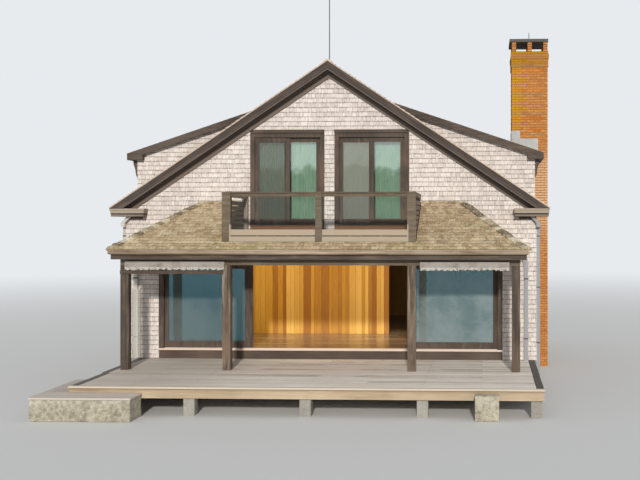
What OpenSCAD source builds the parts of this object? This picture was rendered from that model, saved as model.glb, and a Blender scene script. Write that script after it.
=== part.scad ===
// Shingled beach house with a hipped front porch, a balcony set in the porch roof,
// two shed dormers, a brick side chimney and a wooden deck.
// X runs along the front, Y from the front to the back and Z up.
// Z = 0 is the lowest ground. The front wall's outer face is at Y = 0.
// Heights named _z are measured up from the deck's top, and raised() lifts them to the ground's frame.

/* [House] */
// Width over the side walls
house_w = 9750; // [8400:50:12000]
// Depth from the front wall to the rear wall
house_d = 9000; // [7500:50:12000]
// Thickness of the outer walls
wall_t = 150; // [100:5:250]
// Height of the deck's top above the lowest ground
deck_h = 600; // [450:10:900]
// Rise from the deck to the house floor
floor_rise = 240; // [180:5:360]
// Thickness of the house floor's boards
floor_t = 40; // [25:1:60]
// Height of the upper floor's top above the deck
upper_floor_z = 3050; // [2900:10:3300]
// Thickness of the upper floor with its ceiling
upper_floor_t = 250; // [150:5:300]
// Ledge of the foundation under the porch floor
ledge = 150; // [100:5:250]

/* [Main roof] */
// Height of the roof's top surface over the side wall's face
plate_z = 3790; // [3650:10:4200]
// Rise of the roof in every twelve
roof_pitch = 8; // [6:0.25:9]
// Thickness of the roof, measured plumb
roof_t = 150; // [100:5:220]
// Thickness of the shingle layer, measured plumb
skin_t = 22; // [12:1:40]
// Overhang beyond the side walls
eave_out = 305; // [200:5:450]
// Overhang beyond the front and rear walls
verge_out = 300; // [200:5:450]
// Height of the rake boards, measured plumb
rake_h = 200; // [150:5:260]
// Thickness of the rake boards
rake_t = 40; // [25:1:60]
// Shadow gap between the rake board and the frieze board on the wall
frieze_gap = 70; // [30:5:120]
// Height of the frieze board, measured plumb
frieze_h = 130; // [80:5:180]
// Shingles past the rake boards' face
oversail = 15; // [5:1:30]
// Length of a cornice return
return_l = 830; // [600:10:1100]
// Height of the cornice's crown strip
crown_h = 45; // [20:1:60]
// Part of the crown strip past the cornice's face
crown_out = 14; // [5:1:30]
// Height of the cornice down to its lower board
cornice_h = 120; // [80:1:150]
// Height of the cornice's lower board
cornice_low_h = 70; // [50:1:120]
// Set-back of the cornice's lower board
cornice_step = 25; // [10:1:50]
// Height of the bed board on the wall under a return
bed_h = 55; // [30:1:90]

/* [Dormers] */
// Distance from the ridge to the dormer roofs' upper edges
dormer_r = 1245; // [600:5:1800]
// Rise of a dormer roof in every twelve
dormer_pitch = 4; // [2:0.25:5]
// Thickness of a dormer roof, measured plumb
dormer_t = 130; // [100:5:180]
// Distance from the front and rear walls to the dormer's end walls
dormer_in = 770; // [500:10:1500]
// Overhang of a dormer roof beyond the side wall
dormer_eave_out = 215; // [120:5:300]
// Overhang of a dormer roof beyond its end walls
dormer_verge = 120; // [80:5:200]
// Height of the dormer's fascia boards, measured plumb
dormer_fascia_h = 160; // [120:5:200]
// Length of the block that closes a dormer's eave against its end wall
dormer_return_l = 170; // [100:5:300]

/* [Chimney] */
// Width of the chimney across the wall
chimney_w = 950; // [700:10:1300]
// Depth of the chimney along the wall
chimney_d = 1100; // [700:10:1500]
// Part of the width that stands outside the wall's face
chimney_out = 470; // [300:10:600]
// Distance from the front wall to the chimney
chimney_y = 3300; // [2500:10:4500]
// Height of the chimney's brick top above the deck
chimney_top_z = 7820; // [7000:10:9000]
// Height of the piers that carry the cap
chimney_pier_h = 250; // [150:5:350]
// Thickness of the cap slab
chimney_slab_t = 80; // [50:1:120]
// Overhang of the cap slab
chimney_slab_out = 40; // [20:1:90]
// Shift of the cap slab towards the ridge
chimney_slab_shift = 25; // [0:1:40]
// Height of the chimney's corbelled head
chimney_head_h = 420; // [250:10:600]
// Gap between the chimney and the timber round it
chimney_gap = 5; // [2:1:20]

/* [Porch] */
// Distance from the house's centre line to the porch's, to the right
porch_shift = 60; // [0:5:120]
// Width of the porch roof over its shingles
porch_w = 9030; // [8400:10:9400]
// Depth of the porch roof from the front wall
porch_run = 2200; // [2100:10:2700]
// Height of the porch roof's eave
porch_eave_z = 2670; // [2600:5:2750]
// Height of the porch roof against the wall
porch_top_z = 3735; // [3500:5:3900]
// Length of the porch roof's level top against the wall
porch_top_w = 6150; // [5500:10:7200]
// Thickness of the porch roof, measured plumb
porch_roof_t = 120; // [80:5:160]
// Height of the porch ceiling's underside
porch_ceiling_z = 2540; // [2500:5:2560]
// Height of the porch beam
beam_h = 240; // [180:5:300]
// Height of the frieze board under the gutters
porch_frieze_h = 110; // [60:5:150]
// Width of the porch posts
post_w = 180; // [120:5:240]
// Distance from the centre line to the inner posts' axes
inner_post_x = 2030; // [1800:5:2400]
// Distance from the porch roof's edge to the outer posts' axes
outer_post_in = 225; // [150:5:400]
// Distance from the front wall to the posts' front face
post_front = 1900; // [1700:10:2100]
// Width of the gutters
gutter_w = 115; // [90:1:150]
// Part of a gutter past the shingles' edge
gutter_out = 30; // [10:1:60]
// Wall of the gutters
gutter_t = 15; // [4:1:25]
// Width of the square pipes at the house's corners and under the gutters
pipe_w = 95; // [60:5:120]
// Distance from the house's centre line to the axes of the pipes under the gutters
porch_pipe_x = 4640; // [4600:5:4780]

/* [Balcony] */
// Width of the balcony
balcony_w = 4250; // [4100:10:5200]
// Distance from the front wall to the balcony's front face
balcony_front = 1920; // [1700:10:1950]
// Height of the balcony's floor
balcony_floor_z = 3050; // [3000:5:3100]
// Height of the rail's top above the deck
rail_z = 3900; // [3850:5:4100]
// Height of the top rail
rail_h = 100; // [60:5:130]
// Width of the balcony's corner posts
corner_post_w = 190; // [120:5:220]
// Width of the balcony's middle post
mid_post_w = 140; // [90:5:200]
// Spacing of the side slats
slat_pitch = 112; // [90:1:160]
// Height of each side slat
slat_h = 90; // [60:1:120]

/* [Deck] */
// Reach of the deck to the left of the centre line
deck_left = 4570; // [4400:10:5200]
// Reach of the deck to the right of the centre line
deck_right = 4840; // [4400:10:5200]
// Distance from the front wall to the deck's front edge
deck_front = 4000; // [3200:10:5000]
// Depth of the porch floor
porch_floor_d = 2300; // [2200:10:2700]
// Drop from the porch floor to the front deck
deck_drop = 20; // [5:1:60]
// Thickness of the deck's boards
deck_board_t = 38; // [25:1:50]
// Height of the deck's fascia
fascia_h = 190; // [120:5:240]
// Thickness of the deck's fascia
fascia_t = 35; // [20:1:50]
// Part of the nosing board past the fascia
nosing_out = 30; // [10:1:50]
// Width of the deck's joists
joist_w = 60; // [40:1:90]
// Height of the deck's joists
joist_h = 180; // [120:5:220]
// Width of the square piers under the deck
pier_w = 220; // [150:5:300]

/* [Side step] */
// Drop from the deck to the side step
step_drop = 140; // [100:5:200]
// Left end of the step, from the centre line
step_left = 5100; // [4900:10:5700]
// Right end of the step, from the centre line
step_right = 3100; // [2000:10:4000]
// Part of the step in front of the deck
step_front = 660; // [400:10:900]
// Length of the step beside the deck
step_back = 1600; // [800:10:2400]
// Joint between the stones
stone_joint = 6; // [3:1:15]
// Left edge of the small stone pad, from the centre line
pad_x = 3480; // [2000:10:4200]
// Width of the pad
pad_w = 480; // [300:10:700]
// Depth of the pad
pad_d = 320; // [200:10:500]
// Drop from the deck to the pad's top
pad_drop = 100; // [90:5:200]

/* [Ground-floor doors] */
// Half of the glazed front's width
glazed_half = 4090; // [3600:10:4400]
// Height of the opening's head above the deck
head_z = 2340; // [2280:5:2400]
// Height of the head casing
head_h = 100; // [60:5:140]
// Width of the jamb casings
jamb_w = 120; // [80:5:160]
// Half of the clear way when both doors stand open
clear_half = 1835; // [1500:5:1880]
// Width of a sliding door's meeting stile
meeting_stile = 195; // [120:5:220]
// Width of a sliding door's back stile
back_stile = 95; // [60:5:150]
// Height of the doors' top rails
top_rail = 100; // [60:5:160]
// Height of the doors' bottom rails
bottom_rail = 150; // [100:5:250]
// Thickness of the doors
door_t = 42; // [30:1:55]
// Gap between a door and the parts it slides past
door_gap = 8; // [5:1:15]
// Height of the rib that the doors run on
track_h = 12; // [6:1:20]
// Clearance of a roller over its rib
roller_gap = 0.3; // [0.2:0.1:0.8]
// Radius of a roller
roller_r = 20; // [12:1:25]
// Thickness of the door glass
glass_t = 10; // [6:1:24]

/* [Upper doors] */
// Width of an upper door over its casing
upper_door_w = 1770; // [1500:10:1840]
// Wall between the two upper doors
upper_door_gap = 240; // [150:5:500]
// Height of the upper doors' foot
upper_door_z = 3060; // [3055:5:3200]
// Gap between the upper doors' outer top corners and the frieze board
upper_door_head_gap = 1; // [1:1:100]
// Width of the upper doors' casings
casing_w = 105; // [70:5:150]
// Part of a casing in front of the wall
casing_out = 25; // [10:1:40]
// Width of the upper doors' stiles and top rails
sash_w = 105; // [60:5:140]
// Height of the upper doors' bottom rails
sash_rail_h = 165; // [80:5:220]
// Thickness of an upper door's sash
sash_t = 36; // [30:1:50]

/* [Windows] */
// Width of a ground-floor window
window_w = 1000; // [700:10:1300]
// Height of a ground-floor window
window_h = 1200; // [900:10:1400]
// Height of a ground-floor window's sill above the house floor
window_sill = 850; // [700:10:1000]
// Gap between the upper windows' casings and the dormers' eaves
window_eave_gap = 8; // [5:1:200]
// Height of an upper window's sill above the upper floor
upper_window_sill = 740; // [700:10:740]
// Distance from the front and rear walls to the nearest side window's axis
side_window_first = 1900; // [1500:10:2600]
// Number of windows along a side wall, spaced evenly between the two end ones
side_window_count = 3; // [2:1:4]
// Spacing of the rear windows
rear_window_pitch = 2800; // [2000:10:3200]
// Width of a window's frame bars
window_bar = 60; // [40:1:90]

/* [Inside] */
// Distance from the front wall to the panelled wall
panel_wall_y = 3300; // [2600:10:4200]
// Thickness of the panelled wall
panel_wall_t = 80; // [60:5:150]
// Left edge of the passage through the panelled wall
passage_x = 1090; // [500:10:2500]
// Width of the passage
passage_w = 910; // [700:10:1400]

/* [Hidden] */
$fn = 32;

half = house_w / 2;
slope = roof_pitch / 12;
dormer_slope = dormer_pitch / 12;
ridge_z = plate_z + half * slope;
eave_r = half + eave_out;
eave_seat_z = plate_z - eave_out * slope - skin_t;
dormer_plate_z = plate_z + (half - dormer_r) * (slope - dormer_slope);
dormer_eave_r = half + dormer_eave_out;
dormer_foot_z = dormer_plate_z - dormer_eave_out * dormer_slope - dormer_fascia_h;
casing_lap = 70;
dormer_y0 = dormer_in;
dormer_y1 = house_d - dormer_in;
chimney_x0 = half + chimney_out - chimney_w;
chimney_x1 = half + chimney_out;
chimney_y1 = chimney_y + chimney_d;
inside_half = half - wall_t;
room_z = upper_floor_z - upper_floor_t;

timber_joint = 0.5;
frieze_drop = rake_h + skin_t + frieze_gap + frieze_h;
cornice_foot_z = eave_seat_z - cornice_h - cornice_low_h;
bed_t = 45;
upper_door_edge = upper_door_gap / 2 + upper_door_w;
leaf_w = (upper_door_w - 2 * casing_w + sash_w) / 2;
leaf_x = (leaf_w - sash_w) / 2;
upper_door_h = ridge_z - frieze_drop - upper_door_edge * slope - upper_door_head_gap - upper_door_z;
leaf_h = upper_door_h - 2 * casing_w;

porch_half = porch_w / 2;
porch_top_half = porch_top_w / 2;
front_fall = (porch_top_z - porch_eave_z) / porch_run;
side_fall = (porch_top_z - porch_eave_z) / (porch_half - porch_top_half);
outer_post_x = porch_half - outer_post_in;
beam_z = porch_ceiling_z - beam_h;
gutter_in = gutter_w - gutter_out;
gutter_h = porch_eave_z - skin_t - timber_joint - porch_ceiling_z;
gutter_joint = 3;
end_wall_t = 60;
balcony_half = balcony_w / 2;
roof_joint = 5;
slat_t = 38;
slat_in = 12;
balcony_post_d = 140;
cap_t = 20;
sub_roof_t = 60;
front_board_t = 25;
step_board_t = 40;

sill_z = floor_rise;
clear_z = head_z - head_h;
door_y = 20;
door_lift = 10;
fixed_y = door_y + door_t + door_gap + 12;
door_back = glazed_half - jamb_w - door_gap;
door_foot = sill_z + track_h + door_lift;
door_top = clear_z - door_gap;
stile_lap = 100;
fixed_in = clear_half + meeting_stile - stile_lap;
fixed_stile = 130;

sash_gap = 4;
// The outer sash is the right one of each door
function sash_y(side) = 30 + (side < 0 ? sash_t + sash_gap : 0);
function roof_z(r) = ridge_z - r * slope;
function dormer_z(r) = dormer_plate_z + (half - r) * dormer_slope;

// Lifts what is measured from the deck's top into the ground's frame
module raised() {
    translate([0, 0, deck_h]) children();
}

// Box between two opposite corners
module block(lo, hi) {
    translate(lo) cube(hi - lo);
}

// Profile in Y and Z, run along X
module along_x(x0, x1) {
    translate([x0, 0, 0]) rotate([90, 0, 90]) linear_extrude(x1 - x0) children();
}

// Profile in X and Z, run along Y
module along_y(y0, y1) {
    translate([0, y1, 0]) rotate([90, 0, 0]) linear_extrude(y1 - y0) children();
}

module both_sides() {
    children();
    mirror([1, 0, 0]) children();
}

// Raised, and on the porch's own centre line
module on_porch() {
    raised() translate([porch_shift, 0, 0]) children();
}

// The same piece at the front and, turned about, at the rear
module front_and_rear() {
    children();
    translate([0, house_d, 0]) mirror([0, 1, 0]) children();
}

// Flat ring of boards: a frame w wide and h high with bars of width bar, from y0 to y1
module ring(w, h, bar, y0, y1) {
    difference() {
        block([-w / 2, y0, 0], [w / 2, y1, h]);
        block([-w / 2 + bar, y0 - 1, bar], [w / 2 - bar, y1 + 1, h - bar]);
    }
}

// Space that the chimney takes up, with its gap to the timber
module chimney_space() {
    block([chimney_x0 - chimney_gap, chimney_y - chimney_gap, -deck_h - 1],
        [chimney_x1 + chimney_gap, chimney_y1 + chimney_gap, chimney_top_z]);
}

// Everything below the main roof's top surface, between two places along Y
module below_main_roof(y0, y1) {
    along_y(y0, y1)
        polygon([[-eave_r, 0], [eave_r, 0], [eave_r, roof_z(eave_r)], [0, ridge_z],
            [-eave_r, roof_z(eave_r)]]);
}

// The house under its main roof: the walls take their sloping tops from it
module gable_mass() {
    along_y(0, house_d)
        polygon([[-half, 0], [half, 0], [half, roof_z(half) - roof_t],
            [0, ridge_z - roof_t], [-half, roof_z(half) - roof_t]]);
}
// The house under its dormer roofs
module dormer_mass() {
    along_y(dormer_y0, dormer_y1)
        polygon([[-half, 0], [half, 0], [half, dormer_z(half) - dormer_t - timber_joint],
            [dormer_r, dormer_z(dormer_r) - dormer_t - timber_joint],
            [-dormer_r, dormer_z(dormer_r) - dormer_t - timber_joint],
            [-half, dormer_z(half) - dormer_t - timber_joint]]);
}

// Windows of the unseen walls: the place of each axis along its wall
side_window_pitch = (house_d - 2 * side_window_first) / (side_window_count - 1);
left_windows = [for (i = [0 : side_window_count - 1]) side_window_first + i * side_window_pitch];
upper_window_z = upper_floor_z + upper_window_sill;
upper_window_h = dormer_foot_z - casing_lap - window_eave_gap - upper_window_z;
window_clear = 100;
right_windows = [for (y = left_windows)
    if (y + window_w / 2 < chimney_y - window_clear || y - window_w / 2 > chimney_y1 + window_clear) y];
rear_windows = [-rear_window_pitch, 0, rear_window_pitch];
rear_upper_windows = [-rear_window_pitch / 2, rear_window_pitch / 2];

// Sets a window's own frame, outer face at Y = 0, in the left, right or rear wall
module in_left_wall(y) {
    translate([-half, y, 0]) rotate([0, 0, -90]) children();
}
module in_right_wall(y) {
    translate([half, y, 0]) rotate([0, 0, 90]) children();
}
module in_rear_wall(x) {
    translate([x, house_d, 0]) rotate([0, 0, 180]) children();
}
module on_both_floors(upper) {
    translate([0, 0, floor_rise + window_sill]) window_part(window_w, window_h);
    if (upper) translate([0, 0, upper_window_z]) window_part(window_w, upper_window_h);
}

// Hole, frame or glass of one window, as $part says
module window_part(w, h) {
    if ($part == "hole") block([-w / 2, -1, 0], [w / 2, wall_t + 1, h]);
    if ($part == "frame") window_frame(w, h);
    if ($part == "glass") {
        block([-w / 2 + window_bar, wall_t / 2, window_bar],
            [w / 2 - window_bar, wall_t / 2 + glass_t, h - window_bar]);
    }
}
module window_frame(w, h) {
    ring(w, h, window_bar, 0, wall_t);
    translate([0, 0, -casing_lap]) ring(w + 2 * casing_lap, h + 2 * casing_lap, casing_lap, -casing_out, 0);
    block([-w / 2 - casing_lap, -2 * casing_out, -casing_lap], [w / 2 + casing_lap, 0, -casing_lap / 2]);
}
module left_wall_windows() {
    for (y = left_windows) in_left_wall(y) on_both_floors(true);
}
module right_wall_windows() {
    for (y = right_windows) in_right_wall(y) on_both_floors(true);
}
module rear_wall_windows() {
    for (x = rear_windows) in_rear_wall(x)
        translate([0, 0, floor_rise + window_sill]) window_part(window_w, window_h);
    for (x = rear_upper_windows) in_rear_wall(x)
        translate([0, 0, upper_window_z]) window_part(window_w, upper_window_h);
}

// Places of the two upper doors, with the door's foot at the origin
module at_upper_doors() {
    both_sides() translate([(upper_door_gap + upper_door_w) / 2, 0, upper_door_z]) children();
}

// Foundation, with a ledge for the porch floor and a platform for the house floor
module foundation() {
    color("darkgray") raised() difference() {
        union() {
            block([-half, 0, -deck_h], [half, house_d, 0]);
            block([-half, -ledge, -deck_h], [half, 1, -deck_board_t]);
            block([-inside_half, wall_t, -1], [inside_half, house_d - wall_t, floor_rise - floor_t]);
        }
        chimney_space();
    }
}
module house_floor() {
    color("peru") raised() difference() {
        block([-inside_half, wall_t, floor_rise - floor_t], [inside_half, house_d - wall_t, floor_rise]);
        chimney_space();
    }
}
module upper_floor() {
    color("burlywood") raised() difference() {
        block([-inside_half, wall_t, room_z], [inside_half, house_d - wall_t, upper_floor_z]);
        chimney_space();
    }
}
// Panelled wall behind the front room, on both sides of the passage
module panel_wall() {
    color("goldenrod") raised() {
        block([-inside_half, panel_wall_y, floor_rise], [passage_x, panel_wall_y + panel_wall_t, room_z]);
        difference() {
            block([passage_x + passage_w, panel_wall_y, floor_rise],
                [inside_half, panel_wall_y + panel_wall_t, room_z]);
            chimney_space();
        }
    }
}

// Short walls beside the glazed front
module front_wall_piers() {
    color("tan") raised() both_sides() block([glazed_half, 0, 0], [half, wall_t, head_z]);
}
// Wall over the glazed front, with the two upper doorways
module front_gable() {
    color("tan") raised() difference() {
        intersection() {
            block([-half, 0, head_z], [half, wall_t, ridge_z]);
            gable_mass();
        }
        at_upper_doors() block([-upper_door_w / 2, -1, 0], [upper_door_w / 2, wall_t + 1, upper_door_h]);
    }
}
module rear_gable() {
    color("tan") raised() difference() {
        intersection() {
            block([-half, house_d - wall_t, 0], [half, house_d, ridge_z]);
            gable_mass();
        }
        rear_wall_windows($part = "hole");
    }
}
module left_wall() {
    color("tan") raised() difference() {
        intersection() {
            block([-half, wall_t, 0], [-inside_half, house_d - wall_t, ridge_z]);
            gable_mass();
        }
        left_wall_windows($part = "hole");
    }
}
module right_wall() {
    color("tan") raised() difference() {
        intersection() {
            block([inside_half, wall_t, 0], [half, house_d - wall_t, ridge_z]);
            gable_mass();
        }
        right_wall_windows($part = "hole");
        chimney_space();
    }
}
// Long walls of the dormers, standing on the side walls
module dormer_walls() {
    color("tan") raised() difference() {
        intersection() {
            both_sides() block([inside_half, dormer_y0, 0], [half, dormer_y1, ridge_z]);
            dormer_mass();
        }
        gable_mass();
        left_wall_windows($part = "hole");
        right_wall_windows($part = "hole");
        chimney_space();
    }
}
// End walls of the dormers, between the two roof slopes
module dormer_cheeks() {
    color("tan") raised() front_and_rear() both_sides()
        along_y(dormer_y0, dormer_y0 + wall_t)
            polygon([[dormer_r, roof_z(dormer_r) - roof_t], [inside_half, roof_z(inside_half) - roof_t],
                [inside_half, dormer_z(inside_half) - dormer_t - timber_joint],
                [dormer_r, dormer_z(dormer_r) - dormer_t - timber_joint]]);
}

// Right half of the main roof, open where the dormer stands
module main_roof_half() {
    difference() {
        union() {
            along_y(-verge_out + rake_t, house_d + verge_out - rake_t)
                polygon([[0, ridge_z], [eave_r, roof_z(eave_r)], [eave_r, eave_seat_z], [half, eave_seat_z],
                    [half, roof_z(half) - roof_t], [0, ridge_z - roof_t]]);
            along_y(-verge_out - oversail, house_d + verge_out + oversail)
                polygon([[0, ridge_z], [eave_r, roof_z(eave_r)], [eave_r, roof_z(eave_r) - skin_t],
                    [0, ridge_z - skin_t]]);
        }
        block([dormer_r, dormer_y0, 0], [eave_r + 1, dormer_y1, ridge_z]);
    }
}
module main_roof_left() {
    color("silver") raised() mirror([1, 0, 0]) main_roof_half();
}
module main_roof_right() {
    color("silver") raised() main_roof_half();
}

// Sloping band of a dormer's profile, from top_gap to foot_gap below its top surface
module dormer_band(r0, r1, top_gap, foot_gap) {
    polygon([[r0, dormer_z(r0) - top_gap], [r1, dormer_z(r1) - top_gap],
        [r1, dormer_z(r1) - foot_gap], [r0, dormer_z(r0) - foot_gap]]);
}
// Right dormer roof: where it passes the end walls it lies on the main roof
module dormer_roof_half() {
    difference() {
        along_y(dormer_y0 - dormer_verge, dormer_y1 + dormer_verge)
            dormer_band(dormer_r, dormer_eave_r, 0, dormer_t);
        front_and_rear() translate([0, 0, timber_joint]) below_main_roof(-verge_out - 1, dormer_y0);
        along_y(dormer_y0 - dormer_verge - 1, dormer_y1 + dormer_verge + 1)
            polygon([[dormer_eave_r - rake_t, 0], [dormer_eave_r + 1, 0],
                [dormer_eave_r + 1, dormer_z(dormer_eave_r + 1) - skin_t],
                [dormer_eave_r - rake_t, dormer_z(dormer_eave_r - rake_t) - skin_t]]);
    }
}
module dormer_roof_left() {
    color("silver") raised() mirror([1, 0, 0]) dormer_roof_half();
}
module dormer_roof_right() {
    color("silver") raised() difference() {
        dormer_roof_half();
        chimney_space();
    }
}
// Sloping fascias at the dormers' ends, cut to lie on the main roof,
// and a level fascia with its soffit under each eave
module dormer_fascias() {
    color("saddlebrown") raised() {
        front_and_rear() both_sides() {
            difference() {
                along_y(dormer_y0 - dormer_verge - rake_t, dormer_y0 - dormer_verge - timber_joint)
                    dormer_band(dormer_r, dormer_eave_r, 0, dormer_fascia_h);
                translate([0, 0, timber_joint]) below_main_roof(-verge_out - 1, dormer_y0);
            }
            dormer_return();
        }
        dormer_eave_boxes();
    }
}
// Block that closes the eave's box against the end wall
module dormer_return() {
    along_y(dormer_y0 - dormer_verge - rake_t, dormer_y0 - timber_joint)
        polygon([[half - dormer_return_l, dormer_foot_z], [dormer_eave_r, dormer_foot_z],
            [dormer_eave_r, dormer_z(dormer_eave_r) - dormer_t - timber_joint],
            [half - dormer_return_l, dormer_z(half - dormer_return_l) - dormer_t - timber_joint]]);
}
module dormer_eave_boxes() {
    foot_z = dormer_foot_z;
    soffit_t = 20;
    difference() {
        both_sides() along_y(dormer_y0 - dormer_verge, dormer_y1 + dormer_verge)
            polygon([[half, foot_z], [dormer_eave_r, foot_z],
                [dormer_eave_r, dormer_z(dormer_eave_r) - skin_t],
                [dormer_eave_r - rake_t, dormer_z(dormer_eave_r - rake_t) - skin_t],
                [dormer_eave_r - rake_t, foot_z + soffit_t], [half, foot_z + soffit_t]]);
        chimney_space();
    }
}

// Right rake boards: the outer board at the verge and the stepped board on the wall
module rake_half() {
    gap = rake_h + skin_t;
    back_t = 20;
    front_t = 50;
    difference() {
        along_y(-verge_out, -verge_out + rake_t)
            polygon([[0, ridge_z - skin_t], [eave_r, roof_z(eave_r) - skin_t],
                [eave_r, roof_z(eave_r) - gap], [0, ridge_z - gap]]);
        block([half - 1, -verge_out - 1, 0], [eave_r + 1, 0, eave_seat_z]);
        block([eave_r - return_l, -verge_out - 1, 0], [eave_r + 1, 0, eave_seat_z]);
    }
    difference() {
        union() {
            along_y(-back_t, 0)
                polygon([[0, ridge_z - roof_t], [half, roof_z(half) - roof_t],
                    [half, roof_z(half) - frieze_drop + frieze_h], [0, ridge_z - frieze_drop + frieze_h]]);
            along_y(-front_t, 0)
                polygon([[0, ridge_z - frieze_drop + frieze_h], [half, roof_z(half) - frieze_drop + frieze_h],
                    [half, roof_z(half) - frieze_drop], [0, ridge_z - frieze_drop]]);
        }
        block([eave_r - return_l, -verge_out, 0], [eave_r, 1, eave_seat_z]);
    }
}
module rake_boards_left() {
    color("saddlebrown") raised() front_and_rear() mirror([1, 0, 0]) rake_half();
}
module rake_boards_right() {
    color("saddlebrown") raised() front_and_rear() rake_half();
}
// Boxed eaves with their returns across the front and the rear wall:
// a crown strip, the face, a lower board and a bed board on the wall
module cornices() {
    bed_in = 130;
    x0 = eave_r - return_l;
    z3 = eave_seat_z - crown_h;
    z2 = eave_seat_z - cornice_h;
    color("saddlebrown") raised() front_and_rear() both_sides() {
        difference() {
            union() {
                block([x0, -verge_out, z3], [eave_r, dormer_y0, eave_seat_z]);
                block([x0 + crown_out, -verge_out + crown_out, z2], [eave_r - crown_out, dormer_y0, z3]);
                block([x0 + cornice_step, -verge_out + cornice_step, cornice_foot_z],
                    [eave_r - cornice_step, dormer_y0, z2]);
            }
            block([0, 0, 0], [half, dormer_y0 + 1, ridge_z]);
        }
        block([x0 + bed_in, -bed_t, cornice_foot_z - bed_h], [half, 0, cornice_foot_z]);
    }
}
// Thin mast on the ridge, on a small foot that sits astride it
module mast() {
    mast_h = 1500;
    mast_r = 12;
    foot_h = 60;
    foot_r = 45;
    color("dimgray") raised() difference() {
        translate([0, 0, ridge_z]) {
            cylinder(h = mast_h, r = mast_r);
            translate([0, 0, -foot_r * slope]) cylinder(h = foot_h, r = foot_r);
        }
        below_main_roof(-verge_out, house_d);
    }
}

// Brick chimney from the ground up, with a corbelled head and a crown of two courses
module chimney() {
    head_out = 16;
    crown_out = 30;
    crown_h = 135;
    crown_drop = 68;
    color("chocolate") raised() {
        block([chimney_x0, chimney_y, -deck_h], [chimney_x1, chimney_y1, chimney_top_z]);
        chimney_band(head_out, chimney_top_z - chimney_head_h, chimney_top_z);
        chimney_band(crown_out, chimney_top_z - crown_drop - crown_h, chimney_top_z - crown_drop);
    }
}
module chimney_band(out, z0, z1) {
    block([chimney_x0 - out, chimney_y - out, z0], [chimney_x1 + out, chimney_y1 + out, z1]);
}
// Slab on brick piers over the flues, with a short rod
module chimney_cap() {
    pier = 110;
    rod_h = 270;
    rod_r = 9;
    color("sienna") raised() translate([0, 0, chimney_top_z]) {
        for (y = [chimney_y, chimney_y1 - pier])
            for (x = [chimney_x0, (chimney_x0 + chimney_x1 - pier) / 2, chimney_x1 - pier])
                block([x, y, 0], [x + pier, y + pier, chimney_pier_h]);
        translate([-chimney_slab_shift, 0, chimney_pier_h])
            block([chimney_x0 - chimney_slab_out, chimney_y - chimney_slab_out, 0],
                [chimney_x1 + chimney_slab_out, chimney_y1 + chimney_slab_out, chimney_slab_t]);
        translate([(chimney_x0 + chimney_x1) / 2, chimney_y + chimney_d / 2, chimney_pier_h + chimney_slab_t])
            cylinder(h = rod_h, r = rod_r);
    }
}
// Metal apron round the chimney, on the right dormer roof, with an upstand in two level steps
module chimney_flashing() {
    apron = 130;
    sheet = 8;
    upper_step = 610;
    lower_step = 560;
    upper_step_w = 230;
    x0 = chimney_x0 - sheet - chimney_gap;
    x1 = x0 + upper_step_w;
    upper_z = dormer_z(x1) + upper_step;
    lower_z = dormer_z(dormer_eave_r) + lower_step;
    color("lightgray") raised() difference() {
        union() {
            along_y(chimney_y - apron, chimney_y1 + apron)
                dormer_band(chimney_x0 - apron, dormer_eave_r, -sheet, -timber_joint);
            along_y(chimney_y - sheet - chimney_gap, chimney_y1 + sheet + chimney_gap)
                polygon([[x0, dormer_z(x0) + timber_joint], [x0, upper_z], [x1, upper_z], [x1, lower_z],
                    [dormer_eave_r, lower_z], [dormer_eave_r, dormer_z(dormer_eave_r) + timber_joint]]);
        }
        block([chimney_x0, chimney_y, 0], [chimney_x1, chimney_y1, chimney_top_z]);
    }
}

// Casing, two sliding sashes past each other, drip board and inner pelmet of each upper door
module upper_door_frames() {
    drip_h = 75;
    drip_out = 35;
    pelmet_out = 110;
    pelmet_t = 30;
    head = upper_door_h - casing_w;
    color("saddlebrown") raised() at_upper_doors() {
        ring(upper_door_w, upper_door_h, casing_w, -casing_out, wall_t);
        for (side = [-1, 1]) translate([side * leaf_x, sash_y(side), casing_w]) difference() {
            block([-leaf_w / 2, 0, 0], [leaf_w / 2, sash_t, leaf_h]);
            block([-leaf_w / 2 + sash_w, -1, sash_rail_h],
                [leaf_w / 2 - sash_w, sash_t + 1, leaf_h - sash_w]);
        }
        block([-upper_door_w / 2, wall_t, head], [upper_door_w / 2, wall_t + pelmet_out, head + pelmet_t]);
        difference() {
            block([-upper_door_w / 2, -casing_out - drip_out, upper_door_h],
                [upper_door_w / 2, 0, upper_door_h + drip_h]);
            translate([-(upper_door_gap + upper_door_w) / 2, 0, -upper_door_z]) above_frieze();
        }
    }
}
// Wall zone that the frieze boards cover on the right side, with what lies over it
module above_frieze() {
    along_y(-verge_out, 1)
        polygon([[0, ridge_z - frieze_drop - timber_joint], [half, roof_z(half) - frieze_drop - timber_joint],
            [half, ridge_z]]);
}
module upper_door_panes() {
    at_upper_doors() for (side = [-1, 1])
        translate([side * leaf_x, sash_y(side) + (sash_t - glass_t) / 2, casing_w])
            block([-leaf_w / 2 + sash_w, 0, sash_rail_h], [leaf_w / 2 - sash_w, glass_t, leaf_h - sash_w]);
}
// Curtains, one plain solid under the pelmet behind each leaf
module curtains() {
    curtain_y = wall_t + 35;
    curtain_t = 50;
    side_gap = 55;
    foot_gap = 60;
    hang_gap = 0.3;
    w = upper_door_w / 2 - casing_w;
    color("ivory") raised() at_upper_doors() for (side = [-1, 1])
        translate([side * w / 2, curtain_y, foot_gap])
            block([-w / 2 + side_gap, 0, 0],
                [w / 2 - side_gap, curtain_t, upper_door_h - casing_w - foot_gap - hang_gap]);
}

module window_frames() {
    color("saddlebrown") raised() {
        left_wall_windows($part = "frame");
        right_wall_windows($part = "frame");
        rear_wall_windows($part = "frame");
    }
}
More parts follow.
